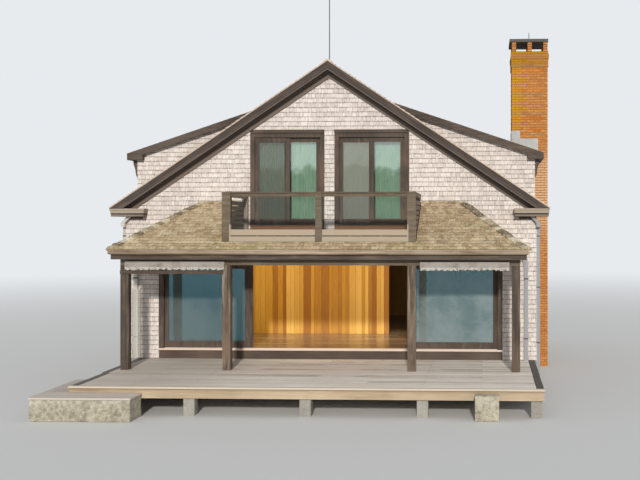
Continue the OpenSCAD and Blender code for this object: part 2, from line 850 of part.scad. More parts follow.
// Panes of the windows, the upper doors and the side lights
module window_glass() {
    color("lightblue", 0.5) raised() {
        upper_door_panes();
        side_light_panes();
        left_wall_windows($part = "glass");
        right_wall_windows($part = "glass");
        rear_wall_windows($part = "glass");
    }
}

// Space under the porch roof's slopes, lowered by drop, down to the height foot
module hip_mass(drop, foot) {
    front_reach = (porch_top_z - drop - foot) / front_fall;
    side_reach = porch_top_half + (porch_top_z - drop - foot) / side_fall;
    intersection() {
        along_x(-porch_half, porch_half)
            polygon([[0, foot], [-front_reach, foot], [0, porch_top_z - drop]]);
        along_y(-porch_run, 0)
            polygon([[-side_reach, foot], [side_reach, foot],
                [porch_top_half, porch_top_z - drop], [-porch_top_half, porch_top_z - drop]]);
    }
}
// Hipped roof with its ceiling, cut back under the shingles where the gutters hang
module porch_roof_mass() {
    difference() {
        hip_mass(0, porch_ceiling_z);
        difference() {
            hip_mass(skin_t, porch_ceiling_z - 1);
            block([-porch_half + gutter_in, -porch_run + gutter_in, 0],
                [porch_half - gutter_in, 1, porch_top_z]);
        }
    }
}
// Right wing of the porch roof: hollow behind, where it meets the wall
module porch_wing() {
    difference() {
        intersection() {
            porch_roof_mass();
            block([balcony_half + roof_joint, -porch_run - 1, 0], [porch_half + 1, 0, porch_top_z]);
        }
        difference() {
            translate([0, 1, 0]) hip_mass(porch_roof_t, porch_ceiling_z + skin_t);
            block([-porch_half, -porch_run, 0], [balcony_half + roof_joint + end_wall_t, 2, porch_top_z]);
        }
    }
}
module porch_roof_left() {
    color("darkkhaki") on_porch() mirror([1, 0, 0]) porch_wing();
}
module porch_roof_right() {
    color("darkkhaki") on_porch() porch_wing();
}
module porch_roof_front() {
    color("darkkhaki") on_porch() intersection() {
        porch_roof_mass();
        block([-balcony_half - roof_joint, -porch_run - 1, 0],
            [balcony_half + roof_joint, -balcony_front - timber_joint, porch_top_z]);
    }
}
// Flat roof and ceiling under the balcony
module porch_ceiling() {
    color("tan") on_porch()
        block([-balcony_half - roof_joint, -balcony_front - timber_joint, porch_ceiling_z],
            [balcony_half + roof_joint, 0, porch_ceiling_z + sub_roof_t]);
}
// Front beam over the posts and the side beams from it to the wall
module porch_beams() {
    reach = outer_post_x + post_w / 2;
    color("dimgray") on_porch() {
        block([-reach, -post_front, beam_z], [reach, -post_front + post_w, porch_ceiling_z]);
        both_sides() block([reach - post_w, -post_front + post_w + timber_joint, beam_z],
            [reach, 0, porch_ceiling_z]);
    }
}
// Boxed eave behind the gutters: a frieze board and the soffit from it back to the beams
module porch_frieze() {
    board_t = 25;
    front_y = -porch_run + gutter_in;
    side_x = porch_half - gutter_in;
    foot_z = porch_ceiling_z - porch_frieze_h;
    color("dimgray") on_porch() difference() {
        union() {
            block([-side_x, front_y, foot_z], [side_x, 0, porch_ceiling_z]);
            block([-porch_half, front_y, foot_z], [porch_half, front_y + board_t, porch_ceiling_z]);
        }
        block([-side_x + board_t, front_y + board_t, foot_z + board_t],
            [side_x - board_t, 1, porch_ceiling_z + 1]);
        block([-outer_post_x - post_w / 2 - timber_joint, -post_front - timber_joint, foot_z - 1],
            [outer_post_x + post_w / 2 + timber_joint, 1, porch_ceiling_z]);
    }
}
module porch_posts() {
    color("dimgray") on_porch() both_sides() for (x = [inner_post_x, outer_post_x])
        block([x - post_w / 2, -post_front, 0], [x + post_w / 2, -post_front + post_w, beam_z]);
}
// Gutter's section, with its back at the right
module gutter_section() {
    difference() {
        translate([-gutter_w, 0]) square([gutter_w, gutter_h]);
        translate([-gutter_w + gutter_t, gutter_t]) square([gutter_w - 2 * gutter_t, gutter_h]);
    }
}
module gutters() {
    reach = porch_half + gutter_out;
    color("rosybrown") on_porch() {
        along_x(-reach, reach) translate([-porch_run + gutter_in, porch_ceiling_z]) gutter_section();
        both_sides() along_y(-porch_run + gutter_in + gutter_joint, 0)
            translate([porch_half - gutter_in, porch_ceiling_z]) mirror([1, 0]) gutter_section();
    }
}
// Pipes at the front corners of the house and, with a bend, from the ends of the porch gutters
module downspouts() {
    color("white") raised() {
        both_sides() corner_pipe();
        for (side = [-1, 1]) porch_pipe(side);
    }
}
// Pipe beside the house's corner: an elbow leads to it from the cornice's return
module corner_pipe() {
    wall_gap = 20;
    elbow_in = 140;
    elbow_h = 150;
    knee_z = cornice_foot_z - elbow_h;
    y0 = -bed_t - timber_joint - pipe_w;
    block([half, wall_gap, -deck_h], [half + pipe_w, wall_gap + pipe_w, knee_z]);
    block([half, y0, knee_z - pipe_w], [half + pipe_w, wall_gap, knee_z]);
    along_y(y0, y0 + pipe_w)
        polygon([[half, knee_z], [half + pipe_w, knee_z],
            [half + pipe_w - elbow_in, cornice_foot_z], [half - elbow_in, cornice_foot_z]]);
}
// Pipe against the wall under the end of the porch gutter
module porch_pipe(side) {
    bend_z = 2300;
    bend_h = 90;
    pipe_d = 70;
    mouth_in = 10;
    mouth_x = porch_half + gutter_out - mouth_in;
    x0 = side * (porch_pipe_x - pipe_w / 2);
    x1 = side * (porch_pipe_x + pipe_w / 2);
    along_y(-pipe_d, 0)
        polygon([[x0, 0], [x1, 0], [x1, bend_z], [porch_shift + side * mouth_x, porch_ceiling_z],
            [porch_shift + side * (mouth_x - pipe_w), porch_ceiling_z], [x0, bend_z - bend_h]]);
}
// Rolled canvas blinds in front of the beam, one in each outer bay:
// the left one passes in front of its posts, and the right one hangs between them
module awnings() {
    roll_d = 80;
    roll_h = 180;
    left_in = 30;
    right_in = 185;
    right_out = 145;
    color("whitesmoke") on_porch() {
        awning(-outer_post_x + left_in, -inner_post_x - left_in, roll_d, roll_h);
        awning(inner_post_x + right_in, outer_post_x - right_out, roll_d, roll_h);
    }
}
module awning(x0, x1, d, h) {
    along_x(x0, x1) translate([-post_front - d - roller_gap, beam_z - h / 2]) {
        translate([0, d / 2]) square([d, h - d]);
        for (z = [d / 2, h - d / 2]) translate([d / 2, z]) circle(d = d);
    }
}
// Board across the left bay, nailed on its two posts under the blind
module awning_rail() {
    rail_t = 28;
    rail_top = 115;
    rail_foot = 195;
    lap = 30;
    color("dimgray") on_porch()
        block([-outer_post_x - post_w / 2, -post_front - rail_t, beam_z - rail_foot],
            [-inner_post_x - post_w / 2 + lap, -post_front, beam_z - rail_top]);
}

// Balcony floor: boards on joists
module balcony_floor() {
    board_t = 40;
    joist_foot = porch_ceiling_z + sub_roof_t;
    inner = balcony_half - slat_in - slat_t - timber_joint;
    front = -balcony_front + 2 * front_board_t;
    joist_half = 30;
    color("gray") on_porch() {
        block([-inner, front, balcony_floor_z - board_t], [inner, 0, balcony_floor_z]);
        for (i = [-3 : 3])
            translate([i * (inner - joist_half) / 3, 0, 0])
                block([-joist_half, front, joist_foot], [joist_half, 0, balcony_floor_z - board_t]);
    }
}
// Front of the balcony: three posts down to the roof, the capped rail and two boards between the posts
module balcony_front_rail() {
    roof_gap = 8;
    board_gap = 20;
    upper_board_h = 130;
    upper_board_lift = 30;
    upper_board_in = 12;
    rail_in = 35;
    cap_out = 10;
    end_in = 1;
    low_z = porch_top_z - balcony_front * front_fall + roof_gap;
    front = -balcony_front;
    back = front + balcony_post_d;
    inner = balcony_half - end_in;
    board_z = balcony_floor_z + upper_board_lift - upper_board_h;
    color("gray") on_porch() {
        for (x = [-balcony_half + corner_post_w / 2, balcony_half - corner_post_w / 2])
            balcony_post(x, corner_post_w, low_z);
        balcony_post(0, mid_post_w, low_z);
        block([-balcony_half, front - cap_out, rail_z - cap_t], [balcony_half, back + cap_out, rail_z]);
        block([-inner, front + rail_in, rail_z - rail_h], [inner, back - rail_in, rail_z - cap_t]);
        block([-inner, front + upper_board_in, board_z],
            [inner, front + upper_board_in + front_board_t, board_z + upper_board_h]);
        block([-inner, front, low_z], [inner, front + front_board_t, board_z - board_gap]);
    }
}
// Post that stands on the floor and reaches down to the roof in front of it
module balcony_post(x, w, low_z) {
    front = -balcony_front;
    block([x - w / 2, front, balcony_floor_z], [x + w / 2, front + balcony_post_d, rail_z - cap_t]);
    block([x - w / 2, front, low_z], [x + w / 2, front + front_board_t, rail_z - cap_t]);
}
// Closed sides of the balcony: level slats outside two posts, under a rail.
// Below the floor they run on down to the roof.
module balcony_side_rails() {
    post_t = 85;
    side_w = 120;
    front_gap = 10;
    foot_gap = 20;
    lower_slats = 2;
    x1 = balcony_half - slat_in;
    x0 = x1 - slat_t - post_t;
    y0 = -balcony_front + balcony_post_d + front_gap;
    slats = floor((rail_z - rail_h - balcony_floor_z - foot_gap) / slat_pitch);
    color("gray") on_porch() both_sides() {
        for (i = [-lower_slats : slats - 1])
            translate([x1 - slat_t, 0, balcony_floor_z + foot_gap + i * slat_pitch])
                block([0, i < 0 ? -balcony_front + 2 * front_board_t : y0, 0], [slat_t, 0, slat_h]);
        block([x0, y0, rail_z - rail_h], [x1, 0, rail_z]);
        for (y = [y0, -side_w])
            block([x0, y, balcony_floor_z], [x1 - slat_t, y + side_w, rail_z - rail_h]);
    }
}
// Clear panels between the balcony's posts
module balcony_glass() {
    color("lightblue", 0.4) on_porch() both_sides()
        block([mid_post_w / 2, -balcony_front + balcony_post_d / 2, balcony_floor_z],
            [balcony_half - corner_post_w, -balcony_front + balcony_post_d / 2 + glass_t, rail_z - rail_h]);
}

// Casing over the ground-floor doors
module door_head() {
    color("saddlebrown") raised()
        block([-glazed_half, -casing_out, clear_z], [glazed_half, wall_t, head_z]);
}
// Threshold with a nosing over its riser, and the rib that the doors run on
module door_sill() {
    nosing = 35;
    rib = 12;
    color("rosybrown") raised() {
        along_x(-glazed_half, glazed_half)
            polygon([[0, 0], [wall_t, 0], [wall_t, sill_z], [-nosing, sill_z], [-nosing, sill_z - nosing],
                [0, sill_z - nosing]]);
        block([-glazed_half + jamb_w, door_y + (door_t - rib) / 2, sill_z],
            [glazed_half - jamb_w, door_y + (door_t + rib) / 2, sill_z + track_h]);
    }
}
// Fixed side lights with their jamb casings
module side_lights() {
    outer = glazed_half - jamb_w;
    color("saddlebrown") raised() both_sides() {
        difference() {
            block([fixed_in, fixed_y, sill_z], [outer, fixed_y + door_t, clear_z]);
            block([fixed_in + fixed_stile, fixed_y - 1, sill_z + bottom_rail],
                [outer - back_stile, fixed_y + door_t + 1, clear_z - top_rail]);
        }
        block([outer, -casing_out, sill_z], [glazed_half, wall_t, clear_z]);
    }
}
module side_light_panes() {
    outer = glazed_half - jamb_w;
    both_sides()
        block([fixed_in + fixed_stile, fixed_y + (door_t - glass_t) / 2, sill_z + bottom_rail],
            [outer - back_stile, fixed_y + (door_t + glass_t) / 2, clear_z - top_rail]);
}
// Right sliding door: stiles, rails, two rollers and a pull on two short arms
module door_leaf() {
    pull_l = 310;
    pull_w = 24;
    pull_t = 12;
    pull_out = 28;
    pull_x = clear_half + 45;
    pull_z = 1190;
    arm_r = 8;
    arm_in = 30;
    roller_w = 12;
    roller_in = 200;
    roller_z = sill_z + track_h + roller_gap + roller_r;
    difference() {
        block([clear_half, door_y, door_foot], [door_back, door_y + door_t, door_top]);
        block([clear_half + meeting_stile, door_y - 1, door_foot + bottom_rail],
            [door_back - back_stile, door_y + door_t + 1, door_top - top_rail]);
    }
    for (x = [clear_half + roller_in, door_back - roller_in])
        translate([x, door_y + (door_t + roller_w) / 2, roller_z]) rotate([90, 0, 0])
            cylinder(h = roller_w, r = roller_r);
    block([pull_x - pull_w / 2, door_y - pull_out - pull_t, pull_z - pull_l / 2],
        [pull_x + pull_w / 2, door_y - pull_out, pull_z + pull_l / 2]);
    for (z = [pull_z - pull_l / 2 + arm_in, pull_z + pull_l / 2 - arm_in])
        translate([pull_x, door_y, z]) rotate([90, 0, 0]) cylinder(h = pull_out, r = arm_r);
}
module door_pane() {
    block([clear_half + meeting_stile, door_y + (door_t - glass_t) / 2, door_foot + bottom_rail],
        [door_back - back_stile, door_y + (door_t + glass_t) / 2, door_top - top_rail]);
}
module left_door() {
    color("saddlebrown") raised() mirror([1, 0, 0]) door_leaf();
}
module left_door_glass() {
    color("lightblue", 0.5) raised() mirror([1, 0, 0]) door_pane();
}
module right_door() {
    color("saddlebrown") raised() door_leaf();
}
module right_door_glass() {
    color("lightblue", 0.5) raised() door_pane();
}

// Places of the deck's joists along X
joist_count = 9;
joist_pitch = (deck_left + deck_right - joist_w - 2 * fascia_t) / (joist_count - 1);
joist_places = [for (i = [0 : joist_count - 1]) -deck_left + fascia_t + joist_w / 2 + i * joist_pitch];

module porch_floor() {
    color("gray") raised()
        block([-deck_left, -porch_floor_d, -deck_board_t], [deck_right, 0, 0]);
}
module deck_floor() {
    color("gray") raised()
        block([-deck_left, -deck_front, -deck_drop - deck_board_t], [deck_right, -porch_floor_d, -deck_drop]);
}
// Fascia with its nosing board along the deck's front, and a skirt board along each end
module deck_fascia() {
    top = -deck_drop - deck_board_t;
    color("tan") raised() {
        block([-deck_left, -deck_front, top - fascia_h], [deck_right, -deck_front + fascia_t, top]);
        block([-deck_left, -deck_front - nosing_out, top], [deck_right, -deck_front, top + deck_board_t]);
        block([-deck_left, -deck_front - nosing_out, top - nosing_out], [deck_right, -deck_front, top]);
        for (x = [-deck_left, deck_right - fascia_t]) {
            block([x, -deck_front + fascia_t + timber_joint, top - fascia_h], [x + fascia_t, -ledge, top]);
            block([x, -porch_floor_d, top], [x + fascia_t, -ledge, -deck_board_t]);
        }
    }
}
module deck_joists() {
    top = -deck_drop - deck_board_t;
    color("sienna") raised() for (x = joist_places) {
        block([x - joist_w / 2, -deck_front + fascia_t, top - joist_h], [x + joist_w / 2, -ledge, top]);
        block([x - joist_w / 2, -porch_floor_d, top], [x + joist_w / 2, -ledge, -deck_board_t]);
    }
}
// Piers under every second joist, in three rows
module deck_piers() {
    front_in = 40;
    middle_in = 350;
    top = -deck_drop - deck_board_t - joist_h;
    rows = [-deck_front + fascia_t + pier_w / 2 + front_in, -porch_floor_d + middle_in, -porch_floor_d / 4];
    color("darkgray") raised() for (i = [0 : 2 : joist_count - 1]) for (y = rows)
        translate([pier_x(i) - pier_w / 2, y - pier_w / 2, -deck_h]) cube([pier_w, pier_w, top + deck_h]);
}
function pier_x(i) = max(-deck_left + fascia_t + pier_w / 2,
    min(deck_right - fascia_t - pier_w / 2, joist_places[i]));

// Wooden step round the deck's front left corner
module step_boards() {
    color("gray") raised() {
        block([-step_left, -deck_front - step_front, -step_drop - step_board_t],
            [-step_right, -deck_front, -step_drop]);
        block([-step_left, -deck_front - 1, -step_drop - step_board_t],
            [-deck_left, -deck_front + step_back, -step_drop]);
    }
}
// Stones under the step, and the pad against the deck's front
module granite_blocks() {
    top = -step_drop - step_board_t;
    color("darkgray") raised() {
        block([-step_left, -deck_front - step_front, -deck_h], [-step_right, -deck_front - stone_joint, top]);
        block([-step_left, -deck_front, -deck_h], [-deck_left - stone_joint, -deck_front + step_back, top]);
        block([pad_x, -deck_front - pad_d, -deck_h], [pad_x + pad_w, -deck_front, -pad_drop]);
    }
}

foundation();
house_floor();
upper_floor();
panel_wall();
front_wall_piers();
front_gable();
rear_gable();
left_wall();
right_wall();
dormer_walls();
dormer_cheeks();
main_roof_left();
main_roof_right();
dormer_roof_left();
dormer_roof_right();
rake_boards_left();
rake_boards_right();
cornices();
dormer_fascias();
mast();
chimney();
chimney_cap();
chimney_flashing();
upper_door_frames();
curtains();
window_frames();
window_glass();
porch_roof_left();
porch_roof_right();
porch_roof_front();
porch_ceiling();
porch_beams();
porch_frieze();
porch_posts();
gutters();
downspouts();
awnings();
awning_rail();
balcony_floor();
balcony_front_rail();
balcony_side_rails();
balcony_glass();
door_head();
door_sill();
side_lights();
left_door();
left_door_glass();
right_door();
right_door_glass();
porch_floor();
deck_floor();
deck_fascia();
deck_joists();
deck_piers();
step_boards();
granite_blocks();
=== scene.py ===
import math
import random
from itertools import pairwise, product

import bpy
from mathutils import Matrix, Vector


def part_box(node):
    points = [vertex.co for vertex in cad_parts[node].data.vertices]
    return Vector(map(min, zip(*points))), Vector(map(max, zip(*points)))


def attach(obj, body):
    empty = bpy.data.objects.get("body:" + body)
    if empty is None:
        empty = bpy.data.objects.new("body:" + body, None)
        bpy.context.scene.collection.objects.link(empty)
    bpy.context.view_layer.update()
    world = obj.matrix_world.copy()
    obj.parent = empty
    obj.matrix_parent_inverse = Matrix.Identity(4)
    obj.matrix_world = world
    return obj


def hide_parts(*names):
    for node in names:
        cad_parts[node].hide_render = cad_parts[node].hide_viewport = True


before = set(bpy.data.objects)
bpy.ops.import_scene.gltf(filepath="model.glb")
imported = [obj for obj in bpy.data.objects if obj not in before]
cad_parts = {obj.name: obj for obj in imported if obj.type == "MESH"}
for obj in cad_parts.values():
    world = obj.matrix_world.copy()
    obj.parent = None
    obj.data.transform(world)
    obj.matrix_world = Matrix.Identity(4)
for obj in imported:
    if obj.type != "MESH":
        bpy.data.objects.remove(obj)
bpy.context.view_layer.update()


def low(node):
    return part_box(node)[0]


def high(node):
    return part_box(node)[1]


# Sizes that pieces share, from the frame and in metres
DECK = high("porch_floor").z
HALF = high("front_gable").x
REAR = high("rear_gable").y
HEAD = high("door_head").z
CORNICE = high("cornices").z
ROOF_LOW, ROOF_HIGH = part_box("main_roof_right")
RIDGE = ROOF_HIGH.z
SLOPE = 8 / 12
ROOF_DEPTH = 0.15
DORMER_LOW, DORMER_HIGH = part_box("dormer_roof_right")
DORMER_SLOPE = 4 / 12
DORMER_DEPTH = 0.13
DORMER_WALL = (low("dormer_walls").y, high("dormer_walls").y)
CHIMNEY_LOW, CHIMNEY_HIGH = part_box("chimney")
PORCH_LOW, PORCH_HIGH = low("porch_roof_left"), high("porch_roof_right")
PORCH_X = (PORCH_LOW.x + PORCH_HIGH.x) / 2
PORCH_HALF = (PORCH_HIGH.x - PORCH_LOW.x) / 2
PORCH_TOP_HALF = 3.075
PORCH_EAVE = DECK + 2.67
BALCONY_LOW, BALCONY_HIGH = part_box("balcony_front_rail")
SKY = (0.80, 0.83, 0.86, 1)
RAYS = ("Is Camera Ray", "Is Glossy Ray", "Is Transmission Ray")
SIDES = (("left", -1), ("right", 1))
UP = Vector((0, 0, 1))
# Materials by name
LOOKS = {}


def roof_z(r):
    return RIDGE - r * SLOPE


def dormer_z(r):
    return DORMER_HIGH.z - (r - DORMER_LOW.x) * DORMER_SLOPE


def ordered(sign, a, b):
    """Two places along a side wall, the lower first; the left wall runs from the rear to the front."""
    return sorted((sign * a, sign * b))


def rgb(code):
    """A screen colour such as c6bbb4 as the linear colour that a shader takes."""
    parts = [int(code[i:i + 2], 16) / 255 for i in (0, 2, 4)]
    return (*(c / 12.92 if c <= 0.04045 else ((c + 0.055) / 1.055) ** 2.4 for c in parts), 1.0)


class Value:
    """A node's output. Arithmetic on it adds Math nodes, and a | b is the larger of two."""

    def __init__(self, paint, socket):
        self.paint, self.socket = paint, socket

    def __abs__(self):
        return self.paint.math("ABSOLUTE", self)

    def sine(self):
        return self.paint.math("SINE", self)

    def step(self, start, end):
        """Rises smoothly from 0 to 1 between start and end."""
        return self.paint.node("MapRange", ("Value", self), ("From Min", start), ("From Max", end),
                               interpolation_type="SMOOTHSTEP")


for name, operation in (("add", "ADD"), ("sub", "SUBTRACT"), ("mul", "MULTIPLY"), ("or", "MAXIMUM")):
    setattr(Value, f"__{name}__", lambda a, b, kind=operation: a.paint.math(kind, a, b))
    setattr(Value, f"__r{name}__", lambda a, b, kind=operation: a.paint.math(kind, b, a))


class Paint:
    """The nodes of a material or of the world, built a step at a time, with the colour so far."""

    def __init__(self, name, owner=None, **sockets):
        self.owner = LOOKS[name] = owner or bpy.data.materials.new(name)
        self.owner.use_nodes = True
        self.nodes, self.links = self.owner.node_tree.nodes, self.owner.node_tree.links
        self.shader = self.nodes.get("Principled BSDF")
        self.colour = self.normal = None
        for socket, value in sockets.items():
            self.put(value, self.shader.inputs[socket.replace("_", " ")])

    def put(self, value, socket):
        if isinstance(value, Value):
            self.links.new(value.socket, socket)
        else:
            socket.default_value = rgb(value) if isinstance(value, str) else value

    def node(self, kind, *inputs, out=0, **settings):
        """A new node's output, or several where out is a tuple of their names."""
        made = self.nodes.new("ShaderNode" + kind)
        for key, value in settings.items():
            setattr(made, key, value)
        for key, value in inputs:
            self.put(value, made.inputs[key])
        if isinstance(out, tuple):
            return [Value(self, made.outputs[key]) for key in out]
        return Value(self, made.outputs[out])

    def math(self, operation, a, b=0.0, clamp=False):
        return self.node("Math", (0, a), (1, b), operation=operation, use_clamp=clamp)

    def attribute(self, name, out="Fac"):
        return self.node("Attribute", attribute_name=name, out=out)

    def grain(self, *scale):
        """Each solid's own coordinates: along its grain, across it and through it."""
        return self.node("Mapping", (0, self.attribute("grain", "Vector")), ("Scale", scale))

    def place(self, *scale):
        """The house's coordinates, scaled by three numbers or by one."""
        places = self.node("TexCoord", out="Object")
        return self.node("Mapping", (0, places), ("Scale", scale if len(scale) == 3 else scale * 3))

    def split(self, vector):
        return self.node("SeparateXYZ", (0, vector), out=("X", "Y", "Z"))

    def measure(self, name):
        """The distance x, y or z, or wide or side: from the middle of the house or of the porch."""
        if name in ("wide", "side"):
            return abs(self.measure("x") - (PORCH_X if name == "side" else 0.0))
        return self.node("SeparateXYZ", (0, self.place(1)), out=name.upper())

    def noise(self, vector, detail=4, rough=0.5, twist=0.0, scale=1.0):
        """Noise over coordinates, or over the house's where their scale is given."""
        if not isinstance(vector, Value):
            vector = self.place(*vector) if isinstance(vector, tuple) else self.place(vector)
        return self.node("TexNoise", ("Vector", vector), ("Scale", scale), ("Detail", detail),
                         ("Roughness", rough), ("Distortion", twist))

    def mix(self, factor, a, b):
        return self.node("Mix", (0, factor), (6, a), (7, b), data_type="RGBA", out=2)

    def ramp(self, value, *stops):
        """Starts the colour, as the tones between stops."""
        self.colour = self.node("ValToRGB", (0, value))
        points = self.colour.socket.node.color_ramp.elements
        while len(points) < len(stops):
            points.new(0.5)
        for point, (place, tone) in zip(points, stops):
            point.position, point.color = place, rgb(tone)

    def cover(self, mask, tint):
        """Blends a tint into the colour, where the mask is above 0."""
        self.colour = self.mix(mask, self.colour, tint)

    def bump(self, height, depth, strength=1.0):
        self.normal = self.node("Bump", ("Height", height), ("Distance", depth), ("Strength", strength),
                                ("Normal", self.normal or (0, 0, 0)))

    def layered(self, factor, under, over):
        return self.node("MixShader", (0, factor), (1, under), (2, over))

    def show(self, shader):
        self.put(shader, self.nodes["Material Output"].inputs["Surface"])
        return self.owner

    def done(self, roughness=None):
        for name, value in (("Base Color", self.colour), ("Roughness", roughness), ("Normal", self.normal)):
            if value is not None:
                self.put(value, self.shader.inputs[name])
        return self.owner


def wood(name, tones, spread=0.5, fibre=(2.5, 70, 70), axes=None, stain=None, stain_size=0.7, roughness=0.8,
         bump=0.0015, zones=()):
    """Sawn wood in dark, middle and light tones, with fibres and worn patches.

    Spread is the share of each board's own tone. A pile's grain is scaled by fibre, and a CAD node's
    follows axes. A zone blends a share of a tint in where its measures lie between start and full."""
    dark, middle, light = tones.split()
    paint = Paint(name, Roughness=roughness)
    vector = paint.place(*axes) if axes else paint.grain(*fibre)
    tone = paint.noise(0.9, 2) if axes else paint.attribute("tone")
    fibres = paint.noise(vector, 6, 0.72, 0.35)
    bands = paint.noise(vector, 3, 0.5, 0.6, 0.22)
    cracks = paint.noise(vector, 3, 0.6, 0.2, 0.6)
    paint.ramp(tone * spread + fibres * (1 - spread), (0.3, dark), (0.5, middle), (0.7, light))
    paint.cover(bands * 0.35, dark)
    paint.cover(cracks.step(0.62, 0.74) * 0.5, dark)
    if stain:
        paint.cover(paint.noise(stain_size, 5, 0.6, 0.4).step(0.48, 0.68), stain)
    for tint, mask, *limits in zones:
        for measure, start, full in limits:
            mask = mask * paint.measure(measure).step(start, full)
        paint.cover(mask, tint)
    paint.bump(fibres, bump)
    paint.bump(bands, bump * 2, 0.6)
    return paint.done()


def shingle_paint(name, tones, odd, line=0.6, streak=0.5, lichen=None, specks=None, ends=None, spread=0.2):
    """Weathered shingles with streaks down the slope, and a dark line under each butt: painted shade, partly dirt.

    Odd is the colour of the few dark ones, and ends that of faces to the front and rear."""
    dark, middle, light = tones.split()
    paint = Paint(name, Roughness=0.85)
    fibres = paint.noise(paint.grain(6, 45, 60), 6, 0.78, 0.4)
    tone = paint.attribute("tone")
    weather = paint.noise((0.55, 0.55, 0.8), 4, 0.6)
    paint.ramp(tone * spread + fibres * (0.75 - spread) + weather * 0.25,
               (0.33, dark), (0.5, middle), (0.66, light))
    paint.cover(tone.step(0.92, 0.97) * 0.3, odd)
    if lichen:
        patches = paint.noise(0.9, 7, 0.74, 0.6)
        x, left, half = paint.measure("x"), BALCONY_LOW.x, BALCONY_HIGH.x - PORCH_X
        eave = (paint.measure("z").step(PORCH_EAVE + 0.16, PORCH_EAVE + 0.1)
                * paint.measure("side").step(half + 0.3, half))
        damp = eave | x.step(left - 0.55, left) * x.step(left + 0.2, left + 0.1)
        paint.cover(patches.step(0.55, 0.7) * 0.5 | damp * patches.step(0.4, 0.62) * 0.5, lichen)
    if specks:
        blots = paint.noise(18, 6, 0.78, 0.5)
        paint.cover(blots.step(0.53, 0.63) * 0.8, specks)
        paint.cover(blots.step(0.45, 0.35) * 0.7, odd)
    streaks = paint.noise(paint.grain(7, 34, 9), 5, 0.75, 0.3)
    paint.cover(streaks.step(0.52, 0.64) * streak, odd)
    ragged = paint.noise(paint.grain(4, 26, 9), 4, 0.7).step(0.25, 0.62)
    # The dark line just under each butt: painted shade of the butt above, partly dirt, broken up by noise
    paint.cover(paint.attribute("shade").step(0.76, 0.96) * ragged * line, (0.05, 0.04, 0.035, 1))
    if ends:
        facing = abs(paint.split(paint.node("NewGeometry", out="Normal"))[1])
        paint.cover(facing.step(0.8, 0.9), ends)
    paint.bump(fibres, 0.0022)
    return paint.done()


def brick_paint():
    """Orange bricks with a bloom half way up, and yellow lichen at the top and on the left."""
    paint = Paint("brick", Roughness=0.88)
    speckle = paint.noise(24, 6, 0.75)
    paint.ramp(paint.attribute("tone") * 0.16 + speckle * 0.84,
               (0.3, "985220"), (0.44, "ba7432"), (0.58, "ca8844"), (0.72, "e0ac72"))
    x, z, top = paint.measure("x"), paint.measure("z"), CHIMNEY_HIGH.z
    paint.cover(z.step(DECK + 5.3, DECK + 4.7) * z.step(DECK + 2.4, DECK + 3.6) * 0.75, "deb892")
    left = 1.0 - x.step(CHIMNEY_LOW.x + 0.16, CHIMNEY_LOW.x + 0.4)
    below_piers = z.step(top + 0.01, top)
    reach = (left * z.step(DORMER_HIGH.z - 1.0, DORMER_HIGH.z) | z.step(top - 0.75, top - 0.1) * 0.62) * below_piers
    patchy = paint.noise(7, 6, 0.75, 0.5)
    paint.cover((patchy + reach * 0.42).step(0.58, 0.84) * 0.9, "c89006")
    # Darker towards the top, below the piers: painted shade
    paint.cover(z.step(top - 0.6, top - 0.3) * below_piers * 0.35, "7e4808")
    paint.bump(speckle, 0.0025)
    return paint.done()


def mineral(name, dark, light, grain=30.0, bump=0.003, stain=None):
    """Concrete, mortar or stone."""
    paint = Paint(name, Roughness=0.9)
    fine = paint.noise(grain, 8, 0.75)
    paint.ramp(fine * 0.6 + paint.noise(1.6, 5, 0.6) * 0.4, (0.36, dark), (0.62, light))
    if stain:
        paint.cover(paint.noise(3.2, 7, 0.7, 0.5).step(0.56, 0.68), stain)
    paint.bump(fine, bump)
    return paint.done()


def painted(name, colour, worn, roughness=0.5, metallic=0.0, ribs=0.0, right=None):
    """Sheet metal with faint dirt and dents. Ribs is the pitch of upright ribs, and right the colour at the right."""
    paint = Paint(name, Metallic=metallic)
    dirt = paint.noise((2.4, 2.4, 1.1), 8, 0.72, 0.4)
    paint.bump(paint.noise((9, 9, 3), 2), 0.001)
    x, y = paint.measure("x"), paint.measure("y")
    if ribs:
        paint.bump(((x + y) * (2 * math.pi / ribs)).sine(), 0.006)
    paint.colour = paint.mix(dirt.step(0.45, 0.75), colour, worn)
    if right:
        paint.cover(x.step(HALF - 0.4, HALF - 0.38), right)
    return paint.done(dirt * 0.3 + (roughness - 0.15))


def cloth(name, light, shade, foot=None, foot_at=0.0):
    """Woven cloth with faint stains, of the colour foot below the height foot_at, with painted shade in its folds."""
    weave = 700
    paint = Paint(name, Roughness=0.9, Sheen_Weight=0.25, Subsurface_Weight=0.12, Subsurface_Scale=0.02)
    places = paint.attribute("grain", "Vector")
    across, down, _ = paint.split(places)
    paint.colour = paint.mix(paint.noise(places, 6, 0.65, scale=3.0).step(0.4, 0.75), light, shade)
    if foot:
        folds = paint.noise((22, 22, 40), 5, 0.7)
        height = paint.measure("z") + folds * 0.04
        # Painted shade in the folds of the hem: the darker cloth colour mixed into the foot
        paint.cover(height.step(foot_at + 0.03, foot_at + 0.01), paint.mix(folds.step(0.5, 0.62), foot, shade))
    paint.bump((across * weave).sine() * (down * weave).sine(), 0.0003, 0.5)
    return paint.done()


